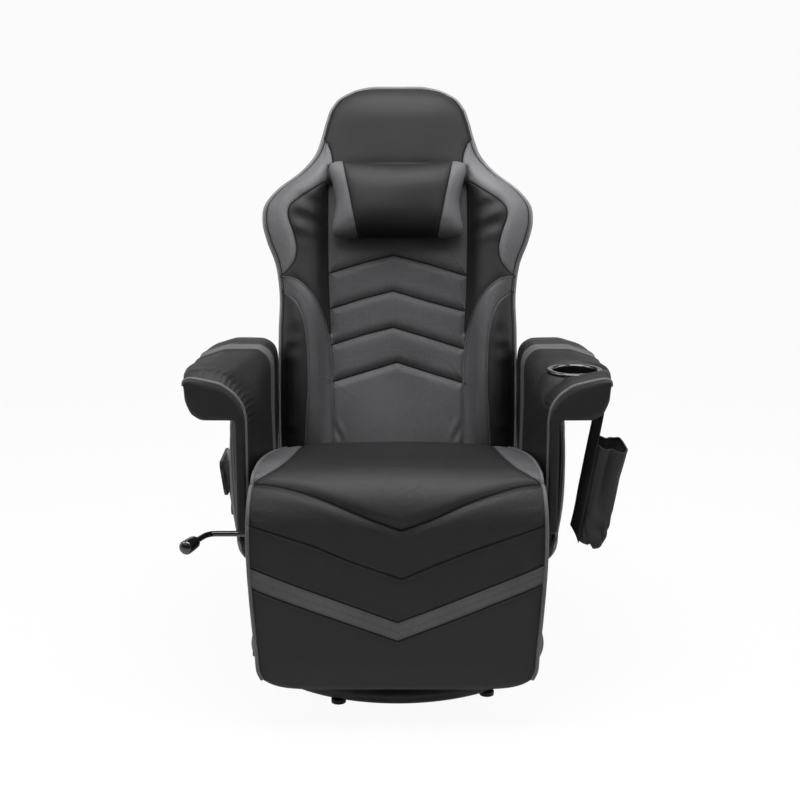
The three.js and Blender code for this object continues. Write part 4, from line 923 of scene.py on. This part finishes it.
pillow_out = np.maximum(pillow_out, padding(pillow_x, pillow_up) + 4)
behind_x, behind_up, behind_dome = (part[:, -2:0:-1] for part in (pillow_x, pillow_up, dome))
behind_out = np.maximum(rest_out - 3 * behind_dome + 2, padding(behind_x, behind_up) + 2.6)
pillow_rear = on_back(behind_x, behind_up, behind_out)
pillow_rings = np.concatenate([on_back(pillow_x, pillow_up, pillow_out), pillow_rear], 1)
pillow = piece("head_pillow_cushion", pillow_rings, pillow_leather, "backrest", ("head_pillow",),
               fields={"second": past_seam, "seam": past_seam, "along": pillow_up})


# %% [markdown]
# The elastic band behind the pillow and the pouch are woven. A weave is two rows of threads that
# take turns on top: a product of two sine waves raises one and lowers the other.

# %% Woven finish and the pillow's band
def woven(name, shade, pitch, rough=0.75):
    """Threads as waves along both directions of the piece's own surface."""
    made = Finish(name, "black_fabric", Roughness=rough)
    over, across_it = [(part * (2 * math.pi / pitch)).maths("SINE") for part in made.skin()]
    cloth = over * across_it * 0.5 + 0.5
    tone = made.noise(14.0, 3)
    colour = made.blend(cloth * 0.5 + tone * 0.5, scaled(shade, 0.55), scaled(shade, 1.35))
    made.surface(Base_Color=colour, Roughness=rough + tone * 0.12 - 0.06)
    made.bump(cloth + made.noise(700.0, 1) * 0.3, 0.0003, 0.7)
    return made


band_cloth = woven("elastic band", grey(28), 0.0016)
pouch_cloth = woven("pouch cloth", grey(38, 38, 39), 0.0011)
strap_end, strap_mid, strap_half = 149.5, 554, 17
strap_rows = strap_mid + strap_half * np.array([-1, -1, 1, 1])
band_x, band_up = np.meshgrid(np.linspace(-strap_end, strap_end, 120), strap_rows, indexing="ij")
band_lift = np.array([0.3, 2.4, 2.4, 0.3])
piece("pillow_band", on_back(band_x, band_up, padding(band_x, band_up) + band_lift), band_cloth, "backrest",
      ("pillow_strap",), skin=(band_x, band_up))

# %% [markdown]
# ## Arms
#
# Each arm is a padded hood over a board: a wall beside the seat, a rounded shoulder, and a top
# that overhangs outwards. The section is drawn once as a list of places. Its corners are rounded
# by averaging along the outline, and rows of that section run from front to rear. The front
# closes with a flat facing, and the leather gathers where it turns round the facing's corner.

# %% One section of the arm for each row
arm_outer, arm_under, wall_foot = 389.0, 545.0, 330.0
arm_front, arm_rear, section_points = -250.0, 232.0, 236
board_face, side_face, section_girth = 283.7, 296.3, 1010.0
stripe_front, stripe_rear = -22, 38
walk = [np.linspace(0, 0.03, 8)[:-1], np.linspace(0.03, 0.9, 96)[:-1], 0.9 + 0.1 * slowing(22)]
walk = np.concatenate(walk)
draw = through([(0, 0), (0.05, 0.1), (0.15, 0.5), (0.35, 1), (1, 1)], walk)
lift = through([(0, 0.97), (0.012, 1.0), (0.15, 1), (0.35, 0.985), (0.6, 0.96), (0.8, 0.88), (0.92, 0.76),
                (0.98, 0.6), (1, 0.35)], walk)
grow = step(0.1, 0.52, walk)
tuck_in = through([(0, 0.985), (0.03, 1), (0.8, 1), (0.92, 0.985), (0.98, 0.95), (1, 0.9)], walk)


def arm_sections(front_crown):
    """Fifteen places for each row: up the inner wall, round the shoulder, over the top, under the tip."""
    inner = 276 - 23 * draw
    outer = inner + (arm_outer - inner) * tuck_in
    crowned = step(0.0, 0.06, walk) * (front_crown + (1 - front_crown) * step(0.3, 0.45, walk))
    corner = 52 - 22 * grow

    def top(x):
        part = (x - inner) / (arm_outer - inner)
        bow = np.sin(math.pi * np.clip(part, 0, 1))
        crown = 16 * bow * (0.3 * front_crown + (1 - 0.3 * front_crown) * crowned) + 31 * (1 - part) * grow
        return arm_under + (53 + (30 - 12 * grow) * part + crown) * lift

    wall_top = top(inner + 0.3 * corner) - corner
    wall_out = np.where(walk < 0.05, side_face, board_face)
    high = top(outer) - arm_under
    shoulder, crest = inner + 0.8 * corner, inner + 0.6 * (outer - inner)
    places = [
        (inner, wall_foot), (inner, wall_foot + 0.6 * (wall_top - wall_foot)), (inner, wall_top),
        (inner + 0.1 * corner, wall_top + 0.45 * corner), (inner + 0.35 * corner, wall_top + 0.82 * corner),
        (shoulder, top(shoulder)), (crest, top(crest)), (outer - 12, top(outer - 12)),
        (outer, arm_under + 0.93 * high), (outer - 2, arm_under + 0.45 * high),
        (outer - 12, arm_under + 11.5), (outer - 30, arm_under),
        (side_face, arm_under), (wall_out, arm_under - 4), (wall_out, wall_foot),
    ]
    return np.stack([np.stack(np.broadcast_arrays(*pair, walk)[:2], -1) for pair in places], 1)


def rounded(outline, count, blur):
    """Equal steps round a closed outline, then a running average whose weight falls off as a bell curve."""
    line = evenly(np.concatenate([outline, outline[:1]]), count + 1)[:-1]
    stride = np.linalg.norm(np.diff(line, axis=0), axis=1).mean()
    reach = np.arange(-12, 13)
    weight = bell(reach * stride, blur)
    return sum(w * np.roll(line, k, axis=0) for w, k in zip(weight / weight.sum(), reach))


arm_rows = {side: np.stack([rounded(section, section_points, 7.0) for section in arm_sections(crown)])
            for side, crown in ((-1, 1.0), (1, 0.35))}
print("arm:", arm_rows[1].shape[0], "rows of", arm_rows[1].shape[1], "points")


# %% Arm body with facing, gathers and stripe
def shrunk(section, shares):
    """Copies of a section, each drawn towards the section's own middle line by its share."""
    middle = (section + section[::-1]) / 2
    return [section + (middle - section) * share for share in shares]


def well(x, y, z, away):
    """The top laid flat round the cup, a collar that drops away from it, and a well for its wall."""
    centre = np.hypot(x - cup_place[0], y - cup_place[1])
    in_well, on_top = centre < well_radius, z > top_least
    z = np.where(on_top, np.minimum(z, flat_height + 26 * step(54, 82, centre)), z)
    collar = (z > collar_least) & (centre > well_radius) & (away > 1)
    z = np.where(collar, np.maximum(z, flat_height - 1.8 - 55 * step(55, 84, centre)), z)
    return np.where(on_top & in_well, well_floor, z)


def arm_mesh(side):
    """Facing rings shrink to the middle line at the front, body rings follow, and the rear closes alike."""
    sections = arm_rows[side]
    inset = np.array([0.96, 0.85, 0.7, 0.5, 0.32, 0.18, 0.09, 0.04, 0.015])
    shrink = np.array([0.06, 0.2, 0.45, 0.75, 0.95])
    facing_dome = 7.5 * quarter_round(inset / 0.5)
    xz = np.stack([*shrunk(sections[0], inset), *sections, *shrunk(sections[-1], shrink)])
    y = np.concatenate([arm_front - facing_dome, arm_front + walk * (arm_rear - arm_front),
                        arm_rear + 1.5 * np.sqrt(shrink)])
    y = np.broadcast_to(y[:, None], xz.shape[:2])
    girth = np.broadcast_to(np.linspace(0, section_girth, section_points, endpoint=False), xz.shape[:2])
    away = y - arm_front
    body_row = (away > 0.1) & (away < arm_rear - arm_front)
    turned = np.gradient(xz, axis=1)
    normal = np.stack([-turned[..., 1], turned[..., 0]], -1)
    normal /= np.linalg.norm(normal, axis=-1)[..., None] + 1e-9
    all_over = step(225, 275, girth) * (1 - step(440, 480, girth))
    at_corner = all_over if side < 0 else 0.9 * bell(girth - 295, 48)
    gather = 2.9 * at_corner * np.sin(2 * math.pi * (girth + 0.25 * away) / 15.5 + 1.1 * np.sin(girth / 29))
    gather = gather * np.exp(-away / 30) * step(0.5, 9, away)
    to_front, to_rear = y - stripe_front, y - stripe_rear
    nearest_edge = np.where(np.abs(to_front) < np.abs(to_rear), to_front, to_rear)
    sink = groove(nearest_edge, 2.2, 6) - gather
    soft = 1.2 * np.sin(y / 41 + girth / 90) * np.sin(girth / 57) * step(5, 40, away)
    x, z = np.moveaxis(xz + normal * ((sink + soft) * body_row)[..., None], -1, 0)
    if side > 0:
        z = well(x, y, z, away)
    return np.stack([x * side, y, z], -1), {
        "second": np.where(body_row & (z > wall_foot), np.minimum(to_front, -to_rear), far_away["second"]),
        "seam": np.where(body_row, nearest_edge, far_away["seam"]),
        "along": girth}


cup_place, well_radius, well_floor = np.array([332.0, -152.0]), 46.2, 549.0
flat_height, top_least, collar_least = 615.8, 575, 560
for side, label in both_sides:
    rings, fields = arm_mesh(side)
    pad = piece(f"arm_padding_{label}", rings, arm_leather, "chair", (f"arm_pad_{label}",), fields)
    first = arm_rows[side][0]
    rim = first[2:int(np.argmax(first.sum(1))) + 5]
    rim = np.stack([rim[:, 0] * side, np.full(len(rim), arm_front - 1.0), rim[:, 1]], -1)
    tube(f"arm_piping_{label}", evenly(rim, 200), 3.4, dark_piping, "chair")

# %% [markdown]
# ## Outer side panels
#
# A padded board covers the mechanism under each arm. It bulges most at mid height and draws in
# towards its foot, and its front and rear edges are rounded.

# %% Side panels
panel_front, panel_rear, panel_top, panel_inner, edge_seam = -190, 200, 540, 296.4, 17


def side_panel(side):
    """Bulge is one table up the height times a flat-topped curve along the length."""
    height = np.concatenate([np.linspace(0, 0.06, 8)[:-1], np.linspace(0.06, 0.95, 60)[:-1],
                             np.linspace(0.95, 1, 8)])
    length = bunched(90) * 0.5 + 0.5
    foot = 204 + 98 * np.clip(1 - length / 0.5, 0, None) ** 2 + 26 * step(0.5, 1, length)
    reach = through([(0, 0.16), (0.03, 0.42), (0.14, 0.62), (0.3, 0.86), (0.55, 1), (0.8, 0.95), (0.93, 0.78),
                     (1, 0.3)], height)[:, None]
    fall = 1 - np.abs(2 * length - 1) ** 3
    rim_fall = np.sqrt(np.clip(1 - np.abs(2 * length - 1) ** 24, 0, 1))
    out = np.maximum(31.2 * reach * (0.35 + 0.65 * fall) * (0.3 + 0.7 * rim_fall), 3.0)
    y = np.broadcast_to(panel_front + (panel_rear - panel_front) * length, out.shape)
    z = foot + (panel_top - foot) * height[:, None]
    seam = np.minimum(y - panel_front, panel_rear - y) - edge_seam
    out = out - groove(seam, 1.8, 4) + 0.8 * np.sin(z / 33) * np.sin(y / 47)
    ends = np.broadcast_arrays(panel_inner * side, np.array([panel_rear, panel_front], float), z[:, [-1, 0]])
    rings = np.concatenate([np.stack([(panel_inner + out) * side, y, z], -1), np.stack(ends, -1)], 1)
    return rings, {"seam": seam, "along": z, "second": [far_away["second"]] * len(height)}


for side, label in both_sides:
    rings, fields = side_panel(side)
    pad = piece(f"side_padding_{label}", rings, arm_leather, "chair", (f"side_panel_{label}",), fields)

# %% [markdown]
# ## Turned pieces
#
# The cup holder, the lever's knob and the floor ring are round: a profile of radius
# and height carried round an axis.


# %% Turning
def turned(profile, centre, direction=(0, 0, 1), sides=64):
    """Each profile place is a circle of its radius, at its height along the direction."""
    way = np.asarray(direction, float) / np.linalg.norm(direction)
    side = np.cross(way, [0.0, 0.0, 1.0] if abs(way[2]) < 0.9 else [1.0, 0.0, 0.0])
    side /= np.linalg.norm(side)
    other = np.cross(way, side)
    turn = circle(sides)[:, None]
    radius, height = np.asarray(profile, float).T[..., None, None]
    return np.asarray(centre, float) + radius * (np.cos(turn) * side + np.sin(turn) * other) + height * way


def fillet(places, radius, count=5):
    """Each inner corner of a profile becomes a short curve that touches both of its sides."""
    p = np.asarray(places, float)
    made = [p[:1]]
    for before, here, after in zip(p[:-2], p[1:-1], p[2:]):
        a, b = before - here, after - here
        r = min(radius, 0.45 * np.linalg.norm(a), 0.45 * np.linalg.norm(b))
        start, end = here + a / np.linalg.norm(a) * r, here + b / np.linalg.norm(b) * r
        t = np.linspace(0, 1, count)[:, None]
        made.append((1 - t) ** 2 * start + 2 * t * (1 - t) * here + t**2 * end)
    return np.concatenate(made + [p[-1:]])


def clouded(made, noise, edges, dark, light, rough, fine, bump):
    """A slow noise moves the colour from dark to light and adds to the roughness; a fine one is the bump."""
    tone = made.noise(*noise)
    colour = made.blend(tone.between(*edges), dark, light)
    made.surface(Base_Color=colour, Roughness=tone * rough[1] + rough[0])
    made.bump(made.noise(*fine), *bump)
    return made


def gloss_plastic(name, shade, rough):
    made = Finish(name, "gloss_black", Roughness=rough, Coat_Weight=0.6, Coat_Roughness=0.08)
    return clouded(made, (30.0, 3), (0.35, 0.65), shade, scaled(shade, 1.35), (rough, 0.06), (240.0,),
                   (0.0002, 0.25))


glossy = gloss_plastic("gloss black plastic", grey(16), 0.12)
powder = Finish("powder coat", "black_steel", Roughness=0.42)
clouded(powder, (22.0, 3), (0.35, 0.7), grey(20), grey(33), (0.34, 0.16), (1100.0,), (0.0004, 0.5))
cup_profile = fillet([(0.01, -64), (43.3, -64), (43.3, -3.4), (53, -3.4), (53, -0.6), (51, 1.6), (43.5, 1.6),
                      (41, -1.5), (40.4, -61), (0.01, -61.5)], 1.6)
cup_rings = turned(cup_profile, (*cup_place, 619.0), sides=96)
piece("cup_holder_liner", cup_rings, glossy, "chair", ("cup_holder",))

# %% Release lever and its knob
knob_way = np.array([-0.322, -0.947, 0.0])
knob_way /= np.linalg.norm(knob_way)
bend = np.array([-357.0, -215.0, 318.0])
lever_line = evenly(flowing([(-214.5, -215, 318), (-280, -215, 318), (-336, -215, 318), (-350, -217.5, 318),
                             (-358.5, -226, 318), (-364, -238, 318), tuple(bend + knob_way * 54)], 3), 90)
tube("release_lever_rod", lever_line, 5.4, glossy, "lever", sides=20, nodes=("release_lever",))
knob_radius, knob_length, quarter = 13.4, 36, np.linspace(0, math.pi / 2, 12)[1:]
knob_tip = np.stack([knob_radius * np.cos(quarter) + 0.01, knob_length + 8.5 * np.sin(quarter)], 1)
knob_body = fillet([(5.6, -1), (9.5, -1), (12.4, 4), (13.3, 22), (knob_radius, knob_length)], 2.5)
knob_rings = turned(np.concatenate([knob_body, knob_tip]), bend + knob_way * 50, knob_way, 48)
piece("release_lever_knob", knob_rings, glossy, "lever", ("lever_knob",))

# %% Floor ring
ring_middle, ring_tube, ring_height, round_steps, tube_steps = 284, 16, 24, 160, 28
ring_turn, tube_turn = circle(round_steps)[:, None], circle(tube_steps)
ring_radius, ring_z = ring_middle + ring_tube * np.cos(tube_turn), ring_height + ring_tube * np.sin(tube_turn)
ring_xyz = np.broadcast_arrays(ring_radius * np.cos(ring_turn), ring_radius * np.sin(ring_turn), ring_z)
here, above = np.meshgrid(np.arange(round_steps), np.arange(tube_steps), indexing="ij")
ahead, over = (here + 1) % round_steps * tube_steps, (above + 1) % tube_steps
here = here * tube_steps
ring_quads = np.stack([here + above, ahead + above, ahead + over, here + over], -1).reshape(-1, 4).tolist()
piece("floor_ring", np.stack(ring_xyz, -1), powder, "base", ("base_ring",), faces=ring_quads)

# %% [markdown]
# ## The hanging pouch
#
# A limp cloth flap hangs under the arm's tip, and an open pocket is sewn to its outer face. The
# flap is one thin sheet with a slow wave. The pocket is a bag: rings from its rim to its floor,
# whose narrow ends fold inwards, and whose floor is crumpled because nothing stiffens it.

# %% Flap and pocket
hang_x, hang_z, hang_turn = 378.346, 554.393, math.radians(9.5)
pouch_middle, flap_half, flap_high = -177, 55, 252
rim_down, floor_down, floor_deep, around = 66, 240, 11, 260
pocket_half_deep, pocket_half_wide = 27.5, 53.0


def hung(out, y, down):
    """Out from the flap's face and down along it, turned about the seam it hangs from."""
    x = hang_x + out * math.cos(hang_turn) - down * math.sin(hang_turn)
    z = hang_z - out * math.sin(hang_turn) - down * math.cos(hang_turn)
    return np.stack(np.broadcast_arrays(x, y, z), -1)


flap_columns = pouch_middle + np.linspace(-flap_half, flap_half, 70)
flap_down, flap_y = np.meshgrid(np.linspace(0, flap_high, 90), flap_columns, indexing="ij")
wave = 1.5 * np.sin(flap_y / 33 + 1) * step(20, 120, flap_down)
wave += np.sin(flap_down / 21 + flap_y / 60) * step(150, 240, flap_down)
round_y = np.concatenate([flap_y, flap_y[:, ::-1]], 1)
round_down = np.concatenate([flap_down, flap_down], 1)
flap_rings = hung(np.concatenate([wave - 1.0, (wave + 0.4)[:, ::-1]], 1), round_y, round_down)
flap = piece("pouch_flap", flap_rings, pouch_cloth, "pouch", ("pouch_panel",), skin=(round_y, round_down))


def boxy(value):
    """A sine or cosine swollen towards 1 and -1, which makes a circle a rounded box."""
    return np.sign(value) * np.abs(value) ** 0.3


floor_rows = floor_down + floor_deep * slowing(10)[1:]
pocket_down = np.concatenate([np.linspace(rim_down, floor_down, 84), floor_rows])
turn, down = circle(around)[None, :], pocket_down[:, None]
half_width = pocket_half_deep * np.interp(down, [66, 120, 200, 251], [1.0, 0.9, 0.92, 0.84])
floor_round = np.sqrt(np.clip(1 - np.clip((down - floor_down) / 11.2, 0, 1) ** 2, 0.02, 1))
out = half_width * (1 + boxy(np.cos(turn)) * floor_round)
y = pocket_half_wide * boxy(np.sin(turn)) * (0.94 + 0.06 * floor_round)
slit = bell(out - half_width, 5.5) * np.abs(np.sin(turn)) ** 8 * (1 - step(120, 215, down))
y = y - np.sign(y) * 15 * slit
crumple = step(170, 250, down)
ripple = (2.8 * np.sin(5 * turn + down / 9) + 2.0 * np.sin(11 * turn - down / 6 + 1)) * crumple
sag = 1.4 * np.sin(3 * turn + down / 40) + 1.0 * np.sin(7 * turn + down / 26)
out = np.clip(out + (ripple + sag) * np.cos(turn), 1.2, None)
y = y + (ripple * 0.8 + sag * 0.5) * np.sin(turn)
drop = down + crumple * (4.5 * np.sin(4 * turn + 0.6) + 3.0 * np.sin(9 * turn))
drop = drop - 3 * (1 - step(66, 90, down)) * np.sin(2 * turn + 0.5)
pocket_rings = hung(out + 2.4, y + pouch_middle, np.minimum(drop, 258))
last_ring = (len(down) - 1) * around
pocket_faces = ring_faces(len(down), around)[:-2] + [list(range(last_ring, last_ring + around))]
pocket = piece("pouch_pocket_bag", pocket_rings, pouch_cloth, "pouch", ("pouch_pocket",),
               skin=np.broadcast_arrays(turn * 80, down), faces=pocket_faces, closed=False)
wall = pocket.modifiers.new("cloth thickness", "SOLIDIFY")
wall.thickness, wall.offset = 0.0016, -1
hem = pocket_rings[0] + [0, 0, -1.5]
hem_skin = np.meshgrid(np.arange(around + 1) * 2.0, np.arange(8) * 1.3, indexing="ij")
tube("pouch_pocket_hem", np.concatenate([hem, hem[:1]]), 1.7, pouch_cloth, "pouch", sides=8, skin=hem_skin)

# %% [markdown]
# ## The mechanism's finishes
#
# The steel, board and plastic parts of the frame have the right shapes already. They only need
# finishes: powder coat on the welded frame, bright zinc on springs, pins and the lock, and
# plywood with its layers showing on the edges.

# %% Zinc, plywood and glide plastic
zinc = Finish("zinc plate", "zinc_steel", Metallic=1.0, Roughness=0.3)
clouded(zinc, (55.0, 4, 0.6), (0.3, 0.7), grey(150, 152, 156), grey(196, 197, 198), (0.2, 0.3), (600.0,),
        (0.0002, 0.3))

board, ply = Finish("stained plywood", "plywood", Roughness=0.6), 0.0024
fibres = board.node("ShaderNodeMapping", {}, {"Vector": board.where(), "Scale": (60.0, 4.0, 60.0)})
grain = board.noise(9.0, 4, 0.6, fibres)
layer = (board.split(board.where())[0] / ply).maths("FRACT").between(0.42, 0.58)
wood = board.blend(grain.between(0.3, 0.75) * 0.7 + layer * 0.3, grey(26, 25, 24), grey(46, 44, 42))
board.surface(Base_Color=wood, Roughness=grain * 0.2 + 0.5)
board.bump(grain, 0.0004, 0.4)

rubber = Finish("glide plastic", "glide_plastic", Roughness=0.55)
clouded(rubber, (90.0, 3), (0.35, 0.7), grey(18), grey(34), (0.4, 0.3), (90.0, 3), (0.0003, 0.3))

satin = gloss_plastic("satin black plastic", grey(7), 0.62)
plain_finishes = (powder, zinc, board, glossy, rubber, plain_leather, pouch_cloth)
finish_of = {finish.slot: finish for finish in plain_finishes}
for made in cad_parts.values():
    for k, old in enumerate(made.data.materials):
        finish = satin if "paddle" in made.name else finish_of[old.name.split(".")[0]]
        made.data.materials[k] = finish.material
print("finished", len(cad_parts), "frame nodes")
